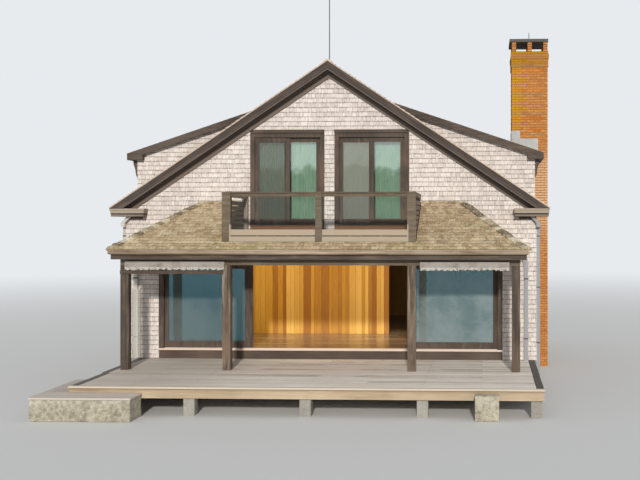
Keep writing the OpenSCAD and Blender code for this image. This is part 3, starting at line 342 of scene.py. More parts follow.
def glass(name, tint, mirrored, share, ior=1.45, dust_and_reflection=0.0, upper=None):
    """Thin tinted glass with a dusty film; its mirror, at least a share, grows at low angles.

    Upper gives the tint, share and the sky and tree colours of a painted reflection above the balcony's floor."""
    paint = Paint(name)
    paint.nodes.remove(paint.shader)
    # Schlick's curve, the same on both faces of a pane, since rays pass through it without refraction
    facing = paint.node("LayerWeight", ("Blend", 0.5), out="Facing")
    bare = ((ior - 1) / (ior + 1)) ** 2
    fresnel = paint.math("POWER", facing, 5) * (1 - bare) + bare
    if upper:
        upper_tint, upper_share, painted_sky_reflection, painted_tree_reflection = upper
        z = paint.measure("z")
        level = z.step(DECK + 2.9, DECK + 3.0)
        tint = paint.mix(level, tint, upper_tint)
        share = share + level * (upper_share - share)
        # A painted reflection on the upper glass: dark trees below a wavering line, pale sky above it
        height = z + paint.noise((2.5, 1, 2.5)) * -0.9
        painted_reflection = paint.mix(height.step(DECK + 3.97, DECK + 4.17), painted_tree_reflection, painted_sky_reflection)
        mirrored = paint.mix(level, mirrored, painted_reflection)
        dust_and_reflection = (1.0 - level) * dust_and_reflection
        # Right of x = 2 m, over the right bay, the veil is doubled: painted reflection, on top of the dusty film
        dust_and_reflection = dust_and_reflection + dust_and_reflection * paint.measure("x").step(1.9, 2.1)
    paint.bump(paint.noise((1.1, 1.1, 0.7), 2), 0.004, 0.4)
    mirror = paint.node("BsdfGlossy", ("Color", mirrored), ("Roughness", 0.02), ("Normal", paint.normal))
    clear = paint.node("BsdfTransparent", ("Color", tint))
    pane = paint.layered(paint.math("ADD", fresnel, share, clamp=True), clear, mirror)
    film = paint.noise(0.8, 5, 0.6).step(0.1, 0.6)
    veil = paint.node("BsdfDiffuse", ("Color", (0.8, 0.85, 0.82, 1)))
    return paint.show(paint.layered(film * dust_and_reflection, pane, veil))


def netting(name, left, right):
    """Insect netting, with a colour for each side of the house: the left one darker, as painted shade."""
    weave, share = 2400, 0.6
    paint = Paint(name)
    paint.nodes.remove(paint.shader)
    x, _, z = paint.split(paint.place(weave))
    threads = (x.sine() | z.sine()).step(0.2, 0.8) * share
    clear = paint.node("BsdfTransparent", ("Color", (0.95, 0.95, 0.95, 1)))
    # The same netting on both screens, darker on the left: painted shade
    thread = paint.node("BsdfDiffuse", ("Color", paint.mix(paint.measure("x").step(-0.1, 0.1), left, right)))
    return paint.show(paint.layered(threads, clear, thread))


class Plane:
    """A flat face: a point lies at s along it, t up it and out from it."""

    def __init__(self, origin, along, up):
        self.origin = Vector(origin)
        self.along, self.up = Vector(along).normalized(), Vector(up).normalized()
        self.out = self.along.cross(self.up)

    def point(self, s, t, out=0.0):
        return self.origin + s * self.along + t * self.up + out * self.out


def oblong(s0, t0, s1, t1):
    return [(s0, t0), (s1, t0), (s1, t1), (s0, t1)]


def edges_of(outline):
    return zip(outline, outline[1:] + outline[:1])


def cut(outline, a, b, c):
    """The part of a convex outline where a * s + b * t is at most c."""
    kept = []
    for (s0, t0), (s1, t1) in edges_of(outline):
        d0, d1 = a * s0 + b * t0 - c, a * s1 + b * t1 - c
        if d0 <= 0:
            kept.append((s0, t0))
        if d0 * d1 < 0:
            share = d0 / (d0 - d1)
            kept.append((s0 + share * (s1 - s0), t0 + share * (t1 - t0)))
    return kept


def within(outline, region):
    """The part of a convex outline inside a convex region that runs anticlockwise."""
    for (s0, t0), (s1, t1) in edges_of(region):
        a, b = t1 - t0, s0 - s1
        outline = cut(outline, a, b, a * s0 + b * t0)
    return outline


def without(outline, hole):
    """What a rectangular hole (s0, t0, s1, t1) leaves of a convex outline, as convex pieces."""
    s0, t0, s1, t1 = hole
    across, up = zip(*outline)
    if max(across) <= s0 or min(across) >= s1 or max(up) <= t0 or min(up) >= t1:
        return [outline]
    middle = cut(cut(outline, -1, 0, -s0), 1, 0, s1)
    return [cut(outline, 1, 0, s0), cut(outline, -1, 0, -s1), cut(middle, 0, 1, t0), cut(middle, 0, -1, -t1)]


def area(outline):
    return abs(sum(s0 * t1 - s1 * t0 for (s0, t0), (s1, t1) in edges_of(outline))) / 2


def dress(made, look, replaces):
    """Puts a piece on the root body with its material, and hides the CAD nodes that it replaces."""
    made.data.materials.clear()
    made.data.materials.append(LOOKS[look])
    bpy.context.scene.collection.objects.link(made)
    if replaces:
        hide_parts(*replaces)
    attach(made, "root")
    return made


def add_piece(title, points, faces, grains, look, slot, replaces, **numbers):
    mesh = bpy.data.meshes.new(title)
    mesh.from_pydata(points, [], faces)
    grain = mesh.attributes.new("grain", "FLOAT_VECTOR", "POINT")
    grain.data.foreach_set("vector", [c for g in grains for c in g])
    for name, values in numbers.items():
        mesh.attributes.new(name, "FLOAT", "POINT").data.foreach_set("value", values)
    return dress(bpy.data.objects.new(title, mesh), look, replaces)


class Pile:
    """Many small solids in one mesh, each with a tone and coordinates along its grain."""

    def __init__(self, seed):
        self.random = random.Random(seed)
        self.points, self.faces, self.grains, self.tones, self.shades = [], [], [], [], []

    def prism(self, front, back, along, out, tone=None, shades=None):
        """Solid between two outlines with the same number of points."""
        n, start = len(front), len(self.points)
        sides = [(i, i + n, (i + 1) % n + n, (i + 1) % n) for i in range(n)]
        self.faces += [[start + i for i in face] for face in (range(n), range(2 * n - 1, n - 1, -1), *sides)]
        self.points += [*front, *back]
        across = out.cross(along)
        shift = Vector([self.random.uniform(0, 40) for _ in range(3)])
        self.grains += [Vector((p.dot(along), p.dot(across), p.dot(out))) + shift for p in (*front, *back)]
        self.tones += [self.random.random() if tone is None else tone] * (2 * n)
        self.shades += (shades or [0.0] * n) * 2

    def board(self, lo, hi, axis, edge=0.003, tone=None, ease=0.0):
        """Board between two corners, with its grain along an axis and four eased long edges. Ease makes it thinner."""
        a, b = [i for i in range(3) if i != axis]
        a0, b0, a1, b1 = lo[a] + ease, lo[b] + ease, hi[a] - ease, hi[b] - ease
        ring = [(a0 + edge, b0), (a1 - edge, b0), (a1, b0 + edge), (a1, b1 - edge),
                (a1 - edge, b1), (a0 + edge, b1), (a0, b1 - edge), (a0, b0 + edge)]
        if axis == 1:
            ring.reverse()
        ends = [[Vector((*side[:axis], place, *side[axis:])) for side in ring] for place in (hi[axis], lo[axis])]
        along, out = Vector(), Vector()
        along[axis] = out[b] = 1
        self.prism(*ends, along, out, tone)

    def nail(self, point):
        """Six-sided nail head."""
        radius, height, depth = 0.004, 0.0012, 0.002
        side = UP.orthogonal().normalized()
        turns = [k * math.pi / 3 for k in range(6)]
        rim = [point + radius * (side * math.cos(turn) + UP.cross(side) * math.sin(turn)) for turn in turns]
        self.prism([p + height * UP for p in rim], [p - depth * UP for p in rim], side, UP)

    def build(self, title, look, slot=None, *replaces):
        add_piece(title, self.points, self.faces, self.grains, look, slot, replaces,
                  tone=self.tones, shade=self.shades)


# Shingles: the height of a course and the least and most width of a shingle
WALL_COURSE = 0.1105
ROOF_COURSE = 0.14
PORCH_COURSE = 0.1375
ROOF_WIDTHS = (0.08, 0.2)


def lay_shingles(pile, plane, region, holes=(), course=WALL_COURSE, widths=(0.06, 0.16), butt=0.011, first=DECK):
    """Courses of shingles over a convex region of a plane, with holes left free. The first foot is at first."""
    lap, gap, smallest = 1.14 * course, 0.0026, 0.00008
    draw = pile.random.uniform
    across, up = zip(*region)
    for row in range(math.floor((min(up) - first) / course), math.ceil((max(up) - first) / course)):
        foot = first + row * course
        s = min(across) - draw(0, widths[1])
        while s < max(across):
            width = draw(*widths)
            t0 = foot + pile.random.gauss(0, 0.0018)
            thick = butt * draw(0.75, 1.25)
            lean = draw(-0.012, 0.012)
            tone = pile.random.random()
            space = gap * draw(0.2, 1.1)
            s0, s1 = s + space, s + width - space
            s += width
            pieces = [within(oblong(s0, t0, s1, foot + lap), region)]
            for hole in holes:
                pieces = [part for piece in pieces if len(piece) > 2 for part in without(piece, hole)]
            for piece in pieces:
                if len(piece) > 2 and area(piece) >= smallest:
                    front = [plane.point(p, t, 0.0015 + thick * max(0.0, 1 - (t - t0) / lap)
                                         + lean * (p - (s0 + s1) / 2)) for p, t in piece]
                    back = [plane.point(p, t, -0.003) for p, t in piece]
                    pile.prism(front, back, plane.up, plane.out, tone, [(t - t0) / course for _, t in piece])


def cap_run(pile, start, end, slopes, width=0.11, course=0.14, butt=0.02, lift=0.008):
    """Cap shingles along a hip or ridge; the two slopes point down from its line."""
    run = end - start
    along = run.normalized()
    up = -(slopes[0] + slopes[1]).normalized()
    for k in range(int(run.length / course) + 1):
        foot = start + along * (k * course + pile.random.gauss(0, 0.002))
        head = start + along * min(run.length, k * course + 1.2 * course)
        if (head - foot).dot(along) < 0.02:
            continue
        thick = butt * pile.random.uniform(0.85, 1.15)
        wide = width * pile.random.uniform(0.93, 1.07)
        tone = pile.random.random()
        for side in slopes:
            out = along.cross(side).normalized()
            turn = 1 if out.dot(up) >= 0 else -1
            out *= turn
            corners = [(foot, 1), (foot + side * wide, 1), (head + side * wide, 0.3), (head, 0.3)][::-turn]
            pile.prism([c + out * (lift + rise * thick) for c, rise in corners],
                       [c - out * 0.002 for c, _ in corners], side, out, tone)


# Walls
def windows(wall):
    """(axis, sill, width, height) of each window along a wall."""
    width, lower, upper = 1.0, (DECK + 1.09, 1.2), (DECK + 3.79, 0.9)
    if wall == "rear":
        places = [(x, lower) for x in (-2.8, 0, 2.8)] + [(x, upper) for x in (-1.4, 1.4)]
    else:
        places = [(y, size) for y in (1.9, 4.5, 7.1) for size in (lower, upper)
                  if wall == "left" or not CHIMNEY_LOW.y - 0.6 < y < CHIMNEY_HIGH.y + 0.6]
    return [(axis, sill, width, height) for axis, (sill, height) in places]


def window_gaps(wall, sign=1):
    lap = 0.062
    return [(sign * axis - width / 2 - lap, sill - lap, sign * axis + width / 2 + lap, sill + height + lap)
            for axis, sill, width, height in windows(wall)]


def clad_walls():
    wide = HALF + 0.009
    peak, eave = (roof_z(r) - ROOF_DEPTH - 0.02 for r in (0, HALF))
    gable = [(wide, eave), (0, peak), (-wide, eave)]
    doors_low, doors_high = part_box("upper_door_frames")
    x0, x1 = PORCH_X - PORCH_TOP_HALF + 0.1, PORCH_X + PORCH_TOP_HALF - 0.1
    top, floor, glazed = PORCH_HIGH.z - 0.1, high("balcony_floor").z - 0.02, high("door_head").x
    # The upper doors, and what the porch roof hides
    holes = [(-doors_high.x, doors_low.z, -0.12, doors_high.z), (0.12, doors_low.z, doors_high.x, doors_high.z),
             (x0, HEAD + 0.1, x1, floor), (x0, floor, BALCONY_LOW.x, top), (BALCONY_HIGH.x, floor, x1, top)]
    pile = Pile(11)
    front = Plane((0, 0, 0), (1, 0, 0), UP)
    lay_shingles(pile, front, [(-wide, HEAD), (wide, HEAD), *gable], holes)
    for s0, s1 in ((-wide, -glazed), (glazed, wide)):
        lay_shingles(pile, front, oblong(s0, DECK + 0.01, s1, HEAD))
    pile.build("front_shingles", "wall_shingle")

    pile = Pile(12)
    lay_shingles(pile, Plane((0, REAR, 0), (-1, 0, 0), UP), [(-wide, DECK), (wide, DECK), *gable],
                 window_gaps("rear"))
    pile.build("rear_shingles", "wall_shingle")

    foot, top = CORNICE - 0.15, dormer_z(HALF) - DORMER_DEPTH - 0.02
    for seed, (name, sign) in enumerate(SIDES, 13):
        pile = Pile(seed)
        holes = window_gaps(name, sign)
        if sign > 0:
            holes.append((CHIMNEY_LOW.y - 0.01, 0, CHIMNEY_HIGH.y + 0.01, RIDGE))
        for ends, z0, z1 in (((0, REAR), DECK, foot), (DORMER_WALL, foot, top)):
            s0, s1 = ordered(sign, *ends)
            lay_shingles(pile, Plane((sign * HALF, 0, 0), (0, sign, 0), UP), oblong(s0, z0, s1, z1), holes)
        pile.build(name + "_shingles", "wall_shingle")

    pile = Pile(15)
    inner = DORMER_LOW.x
    for sign, (y, turn) in product((-1, 1), zip(DORMER_WALL, (1, -1))):
        side = sign * turn
        outline = [(side * inner, roof_z(inner) - 0.1), (side * wide, roof_z(HALF) - 0.1),
                   (side * wide, dormer_z(HALF) - DORMER_DEPTH), (side * inner, dormer_z(inner) - DORMER_DEPTH + 0.05)]
        lay_shingles(pile, Plane((0, y, 0), (turn, 0, 0), UP), outline[::side])
    pile.build("dormer_end_shingles", "wall_shingle")


# Roofs
def shingle_slope(title, seed, sign, lo, hi, eave_z, slope, inner, hole=None):
    """One slope, in from its eave to inner. Hole gives the ends and inner edge of what stands on it."""
    past, drop = 0.008, 0.015
    run = math.hypot(1, slope)
    plane = Plane((sign * hi.x, 0, eave_z), (0, sign, 0), (-sign, 0, slope))
    s0, s1 = ordered(sign, lo.y - past, hi.y + past)
    holes = []
    if hole:
        h0, h1 = ordered(sign, *hole[:2])
        holes = [(h0, -1, h1, (hi.x - hole[2]) * run)]
    pile = Pile(seed)
    lay_shingles(pile, plane, oblong(s0, -drop, s1, (hi.x - inner) * run), holes, ROOF_COURSE, ROOF_WIDTHS,
                 0.013, -drop)
    pile.build(title, "roof_shingle")


def shingle_roofs():
    flashing_low, flashing_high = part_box("chimney_flashing")
    for seed, (name, sign) in enumerate(SIDES, 21):
        shingle_slope("main_roof_shingles_" + name, seed, sign, ROOF_LOW, ROOF_HIGH, roof_z(ROOF_HIGH.x), SLOPE, 0,
                      (DORMER_WALL[0] - 0.02, DORMER_WALL[1] + 0.02, DORMER_LOW.x + 0.03))
        shingle_slope("dormer_roof_shingles_" + name, seed + 2, sign, DORMER_LOW, DORMER_HIGH,
                      dormer_z(DORMER_HIGH.x), DORMER_SLOPE, DORMER_LOW.x,
                      (flashing_low.y, flashing_high.y, flashing_low.x) if sign > 0 else None)
    pile = Pile(25)
    down = [Vector((sign, 0, -SLOPE)).normalized() for sign in (-1, 1)]
    cap_run(pile, Vector((0, ROOF_LOW.y - 0.008, RIDGE)), Vector((0, ROOF_HIGH.y + 0.008, RIDGE)), down)
    pile.build("ridge_caps", "roof_shingle")


def board_rakes():
    """Rakes of the gables: a verge board with a bead at its foot, and the stepped board behind."""
    out, eave, joint = ROOF_LOW.y, ROOF_HIGH.x, 2.6
    # Top and bottom edge under the roof, front, back, and ends and joints of each board
    boards = ((0.022, 0.222, out, out + 0.04, (0, joint, eave)), (0.206, 0.228, out - 0.006, out, (0, eave)),
              (0.15, 0.262, -0.02, 0.0, (0, HALF)), (0.262, 0.382, -0.05, 0.0, (0, joint, HALF)))
    for name, sign in SIDES:
        pile = Pile(26 + sign)
        along = Vector((sign, 0, -SLOPE)).normalized()
        for top, bottom, near, far, stops in boards:
            for a, b in pairwise(stops):
                outline = [(a, roof_z(a) - top), (a, roof_z(a) - bottom),
                           (b - 0.001, roof_z(b) - bottom), (b - 0.001, roof_z(b) - top)]
                outline = cut(outline, 0, -1, -CORNICE)
                if len(outline) < 3:
                    continue
                for turn, ends in ((-1, (near, far)), (1, (REAR - near, REAR - far))):
                    faces = [[Vector((sign * r, y, z)) for r, z in outline[::-sign * turn]] for y in ends]
                    pile.prism(*faces, along, Vector((0, turn, 0)))
        pile.build("rake_planks_" + name, "rake_wood", "trim", "rake_boards_" + name)


def shingle_porch():
    depth, rise, drop = -PORCH_LOW.y, PORCH_HIGH.z - PORCH_EAVE, 0.02
    side_run, top = PORCH_HALF - PORCH_TOP_HALF, math.hypot(depth, rise)
    laying = PORCH_COURSE, ROOF_WIDTHS, 0.014, -drop
    edge = BALCONY_HIGH.x - PORCH_X + 0.004
    outline = [(-PORCH_HALF, -drop), (PORCH_HALF, -drop), (PORCH_HALF, 0), (PORCH_TOP_HALF, top),
               (-PORCH_TOP_HALF, top), (-PORCH_HALF, 0)]
    notch = (-edge, (depth + BALCONY_LOW.y) / depth * top - 0.004, edge, 9)
    pile, caps = Pile(31), Pile(32)
    lay_shingles(pile, Plane((PORCH_X, -depth, PORCH_EAVE), (1, 0, 0), (0, depth, rise)), outline, [notch], *laying)
    for sign in (-1, 1):
        foot = PORCH_X + sign * PORCH_HALF
        outline = [(sign * -depth, 0), (0, 0), (0, math.hypot(side_run, rise))][::sign]
        lay_shingles(pile, Plane((foot, 0, PORCH_EAVE), (0, sign, 0), (-sign, 0, rise / side_run)), outline, (),
                     *laying)
        start, end = Vector((foot, -depth, PORCH_EAVE)), Vector((PORCH_X + sign * PORCH_TOP_HALF, 0, PORCH_HIGH.z))
        sides = [Vector(normal).cross(end - start).normalized()
                 for normal in ((0, -rise, depth), (sign * rise, 0, side_run))]
        cap_run(caps, start, end, [side if side.z < 0 else -side for side in sides], 0.125, 0.15, 0.045, 0.012)
    pile.build("porch_shingles", "porch_shingle")
    caps.build("porch_hip_caps", "cap_shingle", "porch_shingle")


def lay_bricks():
    """Bricks of the chimney in courses from the top down, and the piers under its cap."""
    course, target, joint, depth, edge = 0.0675, 0.2127, 0.01, 0.09, 0.004
    proud, crown_out, head_out, head_height = 0.005, 0.03, 0.016, 0.42
    pier, pier_courses, pier_course = 0.11, 4, 0.0625
    inside_top, inset = DECK + 4.75, depth + joint
    (low_x, low_y, _), (high_x, high_y, top) = CHIMNEY_LOW, CHIMNEY_HIGH
    pile = Pile(41)
    row, z = 0, top - course
    while z > -course:
        out = crown_out if row in (1, 2) else head_out if z > top - head_height - 0.02 else 0.0
        x0, y0 = (place + crown_out - proud - out for place in (low_x, low_y))
        x1, y1 = (place - crown_out + proud + out for place in (high_x, high_y))
        for axis, start, end, sides in ((0, x0, x1, (y0, y1 - depth)), (1, y0, y1, (x0, x1 - depth))):
            if axis == row % 2:
                start, end = start + inset, end - inset
            count = round((end - start) / target)
            length = (end - start + joint) / count
            for side, k in product(sides, range(count)):
                a = start + k * length
                lo, hi = (a, side), (a + length - joint, side + depth)
                if axis:
                    lo, hi = lo[::-1], hi[::-1]
                if hi[0] >= HALF + 0.02 or z >= inside_top:
                    pile.board((*lo, max(z, 0.0)), (*hi, z + course - joint), axis, edge, ease=0.003)
        z -= course
        row += 1
    x0, y0 = low_x + crown_out, low_y + crown_out
    x1, y1 = high_x - crown_out - pier, high_y - crown_out - pier
    for y, x, k in product((y0, y1), (x0, (x0 + x1) / 2, x1), range(pier_courses)):
        z = top + k * pier_course
        pile.board((x - edge, y - edge, z + 0.004), (x + pier + edge, y + pier + edge, z + pier_course - 0.005),
                   k % 2, edge, ease=0.003)
    pile.build("chimney_bricks", "brick")


# Decks, floors and panelling
def lay_deck():
    """Boards, borders and nails of the porch and deck, and planks along the front edge."""
    pile, edges, nails = Pile(51), Pile(52), Pile(53)
    width, gap, border, edge, shortest = 0.138, 0.008, 0.15, 0.004, 2
    joists = sorted({round(v.co.x, 3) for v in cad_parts["deck_joists"].data.vertices})
    joists = [(a + b) / 2 for a, b in zip(joists[::2], joists[1::2])][1:-1]
    for node in ("porch_floor", "deck_floor"):
        lo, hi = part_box(node)
        rows = round((hi.y - lo.y) / (width + gap))
        pitch = (hi.y - lo.y) / rows
        for row in range(rows):
            y0 = lo.y + row * pitch + gap / 2
            y1 = y0 + pitch - gap
            stops = (0, 0)
            while stops[1] - stops[0] < shortest:
                stops = sorted(pile.random.sample(joists, 2))
            for x0, x1 in pairwise((lo.x + border, *stops, hi.x - border)):
                drop = pile.random.uniform(0, 0.0015)
                pile.board((x0 + 0.0015, y0, lo.z), (x1 - 0.0015, y1, hi.z - drop), 0, edge)
            for x, y in product(joists, (y0 + 0.03, y1 - 0.03)):
                nails.nail(Vector((x + pile.random.uniform(-0.012, 0.012), y, hi.z)))
        for x0, x1 in ((lo.x, lo.x + border - gap), (hi.x - border + gap, hi.x)):
            edges.board((x0, lo.y, lo.z), (x1, hi.y, hi.z), 1, edge)
    y = low("deck_fascia").y
    for x0, x1 in pairwise((lo.x - 0.012, -1.2, 2.4, hi.x + 0.012)):
        edges.board((x0 + 0.001, y - 0.014, hi.z - 0.036), (x1 - 0.001, y + 0.1, hi.z + 0.003), 0, 0.006, 0.97)
    pile.build("deck_boards", "deck_wood", "deck_board", "porch_floor", "deck_floor")
    edges.build("deck_edge_planks", "deck_edge", "deck_board")
    nails.build("deck_nails", "nail_steel", "grey_metal")


def board_rows(pile, lo, hi, axis, width, gap):
    """Boards side by side that fill a slab, each as long as it."""
    other = 1 - axis
    rows = round((hi[other] - lo[other]) / width)
    pitch = (hi[other] - lo[other]) / rows
    for row in range(rows):
        a, b = list(lo), list(hi)
        a[other], b[other] = lo[other] + row * pitch + gap / 2, lo[other] + (row + 1) * pitch - gap / 2
        pile.board(a, b, axis)


def board_slabs():
    """Boards of the side step, the balcony and the porch's ceiling."""
    width, gap = 0.165, 0.008
    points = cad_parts["step_boards"].data.vertices
    (x0, x1, x2), (y0, y1, y2), (z0, z1) = (sorted({round(v.co[i], 4) for v in points}) for i in range(3))
    pile = Pile(54)
    board_rows(pile, (x0, y0, z0), (x2, y1, z1), 0, width, gap)
    board_rows(pile, (x0, y1, z0), (x1, y2, z1), 1, width, gap)
    pile.build("step_planks", "deck_wood", "deck_board", "step_boards")

    lo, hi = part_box("balcony_floor")
    thick, joist, spaces = 0.04, 0.06, 6
    pile = Pile(55)
    board_rows(pile, (lo.x, lo.y, hi.z - thick), hi, 0, 0.14, 0.006)
    for k in range(spaces + 1):
        x = lo.x + k * (hi.x - lo.x - joist) / spaces
        pile.board((x, lo.y, lo.z), (x + joist, hi.y, hi.z - thick), 1)
    pile.build("balcony_boards", "balcony_wood", "deck_board", "balcony_floor")

    lo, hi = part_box("porch_beams")
    half, top = hi.x - PORCH_X - 0.182, DECK + 2.54
    pile = Pile(56)
    board_rows(pile, (PORCH_X - half, lo.y + 0.182, top - 0.014), (PORCH_X + half, -0.025, top), 0, 0.09, 0.003)
    pile.build("porch_ceiling_boards", "ceiling_boards", "ceiling_board")


def lay_floor():
    """Narrow boards with staggered ends."""
    width, shortest, gap = 0.085, 0.4, 0.0005
    lo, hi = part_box("house_floor")
    pile = Pile(62)
    rows = round((hi.y - lo.y) / width)
    pitch = (hi.y - lo.y) / rows
    for row in range(rows):
        a, y = lo.x, lo.y + row * pitch
        end = a + pile.random.uniform(shortest, 3)
        while a < hi.x:
            if hi.x - end < shortest:
                end = hi.x
            top = hi.z - pile.random.uniform(0, 0.0006)
            pile.board((a, y + gap, lo.z), (end - gap, y + pitch - gap, top), 0, 0.002)
            a, end = end, end + pile.random.uniform(1.2, 3.2)
    pile.build("house_floor_boards", "floor_wood", "floorboard", "house_floor")


def board_panel_wall():
    """Upright boards of mixed widths on both faces, left and right of the passage."""
    thick, widths, narrowest = 0.018, (0.09, 0.11, 0.14, 0.17, 0.2), 0.05
    lo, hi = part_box("panel_wall")
    pile = Pile(61)
    for x, end in ((lo.x, 1.09), (2.0, hi.x)):
        while x < end - 0.001:
            width = min(pile.random.choice(widths), end - x)
            if end - x - width < narrowest:
                width = end - x
            for y0, y1 in ((lo.y - thick, lo.y), (hi.y, hi.y + thick)):
                if y0 < lo.y or CHIMNEY_LOW.x >= x + width or CHIMNEY_LOW.y >= y1:
                    pile.board((x + 0.001, y0, lo.z + 0.002), (x + width - 0.001, y1, hi.z - 0.002), 2)
            x += width
    pile.build("panel_boards", "panel_wood", "panelling")


def window_bars():
    """Meeting rails and glazing bars on both faces of the side and rear windows."""
    bar, rail, sash = 0.022, 0.045, 0.06
    glass_out, glass_in = 0.075, 0.085
    pile = Pile(71)
    for wall, face, turn in (("left", -HALF, 1), ("right", HALF, -1), ("rear", REAR, -1)):
        for axis, sill, width, height in windows(wall):
            side, z0, z1 = width / 2 - sash, sill + sash, sill + height - sash
            middle = (z0 + z1) / 2
            for a, z0, z1, deep in ((side, middle - rail / 2, middle + rail / 2, 0.018), (bar / 2, z0, z1, 0.012)):
                for near, far in ((glass_out - deep, glass_out), (glass_in, glass_in + deep)):
                    near, far = sorted((face + turn * near, face + turn * far))
                    lo, hi = (axis - a, near, z0), (axis + a, far, z1)
                    if wall != "rear":
                        lo, hi = (near, axis - a, z0), (far, axis + a, z1)
                    pile.board(lo, hi, max(range(3), key=lambda i: hi[i] - lo[i]), 0.002)
    pile.build("window_bars", "trim_z", "trim")


def rough_stones():
    """The stones under the step and the pad, with chipped faces."""
    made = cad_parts["granite_blocks"].copy()
    made.data = made.data.copy()
    made.name, made.parent = "rough_granite", None
    remesh = made.modifiers.new("remesh", "REMESH")
    remesh.mode, remesh.voxel_size = "VOXEL", 0.035
    texture = bpy.data.textures.new("chips", "CLOUDS")
    texture.noise_scale = 0.16
    chips = made.modifiers.new("chips", "DISPLACE")
    chips.texture, chips.strength, chips.mid_level = texture, 0.014, 1.0
    chips.texture_coords = "GLOBAL"
    dress(made, "granite", ["granite_blocks"])


# Gutters and pipes
def lay_gutters():
    """Wooden gutters with a rounded face, in jointed lengths."""
    lo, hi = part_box("gutters")
    wide, tall, cap, inner = 0.115, hi.z - lo.z, 0.012, 0.003
    outer = [(0, 0), (0.062, 0), (0.084, 0.008), (0.101, 0.026), (0.108, 0.05), (0.106, 0.066), (wide, 0.072),
             (wide, tall)]
    profile = outer + [(0.098, tall), (0.092, 0.055), (0.07, 0.024), (0.03, 0.018), (0.015, 0.03), (0.015, tall),
                       (0, tall)]
    y = lo.y + wide
    left, right = (lambda p, at: (lo.x + wide - p, at)), (lambda p, at: (hi.x - wide + p, at))
    lengths = [(profile, a + 0.0008, b - 0.0008) for a, b in pairwise((lo.x + cap, -1.9, 1.6, hi.x - cap))]
    ends = [(outer + [(0, tall)], a, a + cap) for a in (lo.x, hi.x - cap)]
    pile = Pile(81)
    for shape, start, end, *place in (*lengths, *ends, (profile, y + inner, 0, right), (profile, 0, y + inner, left)):
        place = place[0] if place else lambda p, at: (at, y - p)
        near, far = ([Vector((*place(p, at), lo.z + q)) for p, q in shape] for at in (start, end))
        pile.prism(far, near, (far[0] - near[0]).normalized(), UP)
    pile.build("moulded_gutters", "gutter_wood", "weathered_board", "gutters")


def strap_pipes():
    """Straps round the pipes."""
    lap, tall = 0.004, 0.03
    pile = Pile(82)
    for x0, x1, y0, y1, heights in ((4.5925, 4.6875, -0.07, 0.0, (0.5, 1.9)),
                                    (HALF, HALF + 0.095, 0.02, 0.115, (0.4, 1.7, 2.9))):
        for sign in (-1, 1):
            a, b = ordered(sign, x0, x1)
            for z in heights:
                pile.board((a - lap, y0 - lap, DECK + z), (b + lap, y1 - 0.002, DECK + z + tall), 2, 0.002)
    pile.build("pipe_straps", "nail_steel", "grey_metal")


def rib_pipe():
    """Ribs of the left porch pipe, and a thin pipe beside it."""
    foot, rib, pitch = DECK + 0.02, 0.025, 0.034
    pile = Pile(85)
    for k in range(5):
        x = -4.72 + pitch * k
        pile.board((x, -0.088, foot), (x + rib, -0.0705, DECK + 1.64), 2, 0.008)
    pile.board((-4.545, -0.075, foot), (-4.52, -0.045, DECK + 1.66), 2, 0.008)
    pile.build("pipe_ribs", "white_pipe")


def dormer_brackets():
    """Brackets under the ends of the dormers' eaves."""
    inset, thick = 0.02, 0.07
    top = low("dormer_fascias").z + 0.02
    shape = [(0, 0), (0.125, 0), (0.12, -0.1), (0.075, -0.24), (0.055, -0.38), (0.02, -0.46), (0, -0.46)]
    pile = Pile(86)
    y0, y1 = DORMER_WALL[0] + inset, DORMER_WALL[1] - inset
    for sign in (-1, 1):
        for ends in ((y0, y0 + thick), (y1 - thick, y1)):
            faces = [[Vector((sign * (HALF + p), y, top + q)) for p, q in shape[::-sign]] for y in ends]
            pile.prism(*faces, UP, Vector((0, -1, 0)))
    pile.build("eave_brackets", "trim_z", "trim")


# Cloth
def between(values, place):
    """The value at a place along a list of values, one apart."""
    k, part = min(len(values) - 2, int(place)), place % 1
    return values[k] * (1 - part) + values[k + 1] * part


def hang_cloth(title, number, node, rows, columns, point, look):
    """Thin cloth through rows of points, with coordinates across and down it in metres.

    The first of its kind replaces the CAD node."""
    rows = [[Vector(point(i, j)) for j in range(columns)] for i in range(rows)]
    across, down = [0.0], [0.0]
    for a, b in pairwise(rows[len(rows) // 2]):
        across.append(across[-1] + (b - a).length)
    for a, b in pairwise(rows):
        down.append(down[-1] + (b[columns // 2] - a[columns // 2]).length)
    corners = [i * columns + j for i in range(len(rows) - 1) for j in range(columns - 1)]
    faces = [(k, k + 1, k + columns + 1, k + columns) for k in corners]
    made = add_piece(f"{title}_{number + 1}", [p for row in rows for p in row], faces,
                     [(u, v, 0) for v in down for u in across], look, None, [] if number else [node])
    made.data.polygons.foreach_set("use_smooth", [True] * len(faces))
    solid = made.modifiers.new("thickness", "SOLIDIFY")
    solid.thickness, solid.offset = 0.0015, 0.0


def hang_curtains():
    """Two gathered curtains behind each upper door."""
    folds, ribs = 11, 32
    steps = folds * 12
    draw = random.Random(91)
    lo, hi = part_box("curtains")
    for number, (x0, x1) in enumerate(((-1.73, -1.06), (-0.95, -0.28), (0.28, 0.95), (1.06, 1.73))):
        wander = [draw.uniform(-0.5, 0.5) for _ in range(folds + 2)]
        phase = draw.uniform(0, 6.28)

        def point(i, j):
            u, v = j / steps, i / ribs
            drift = between(wander, u * folds)
            turn = 2 * math.pi * (u * folds + 0.35 * drift) + phase + 0.5 * math.sin(2.2 * v + drift)
            x = x0 + 0.008 + (x1 - x0 - 0.016) * u + 0.008 * math.sin(2 * turn) * min(1, 8 * u, 8 - 8 * u)
            deep = (0.012 + 0.009 * min(1, v * 3) - 0.003 * v) * math.sin(turn) * (1 + 0.25 * drift)
            return x, (lo.y + hi.y) / 2 + deep, hi.z - (hi.z - lo.z) * v

        hang_cloth("curtain", number, "curtains", ribs + 1, steps + 1, point, "curtain_cloth")


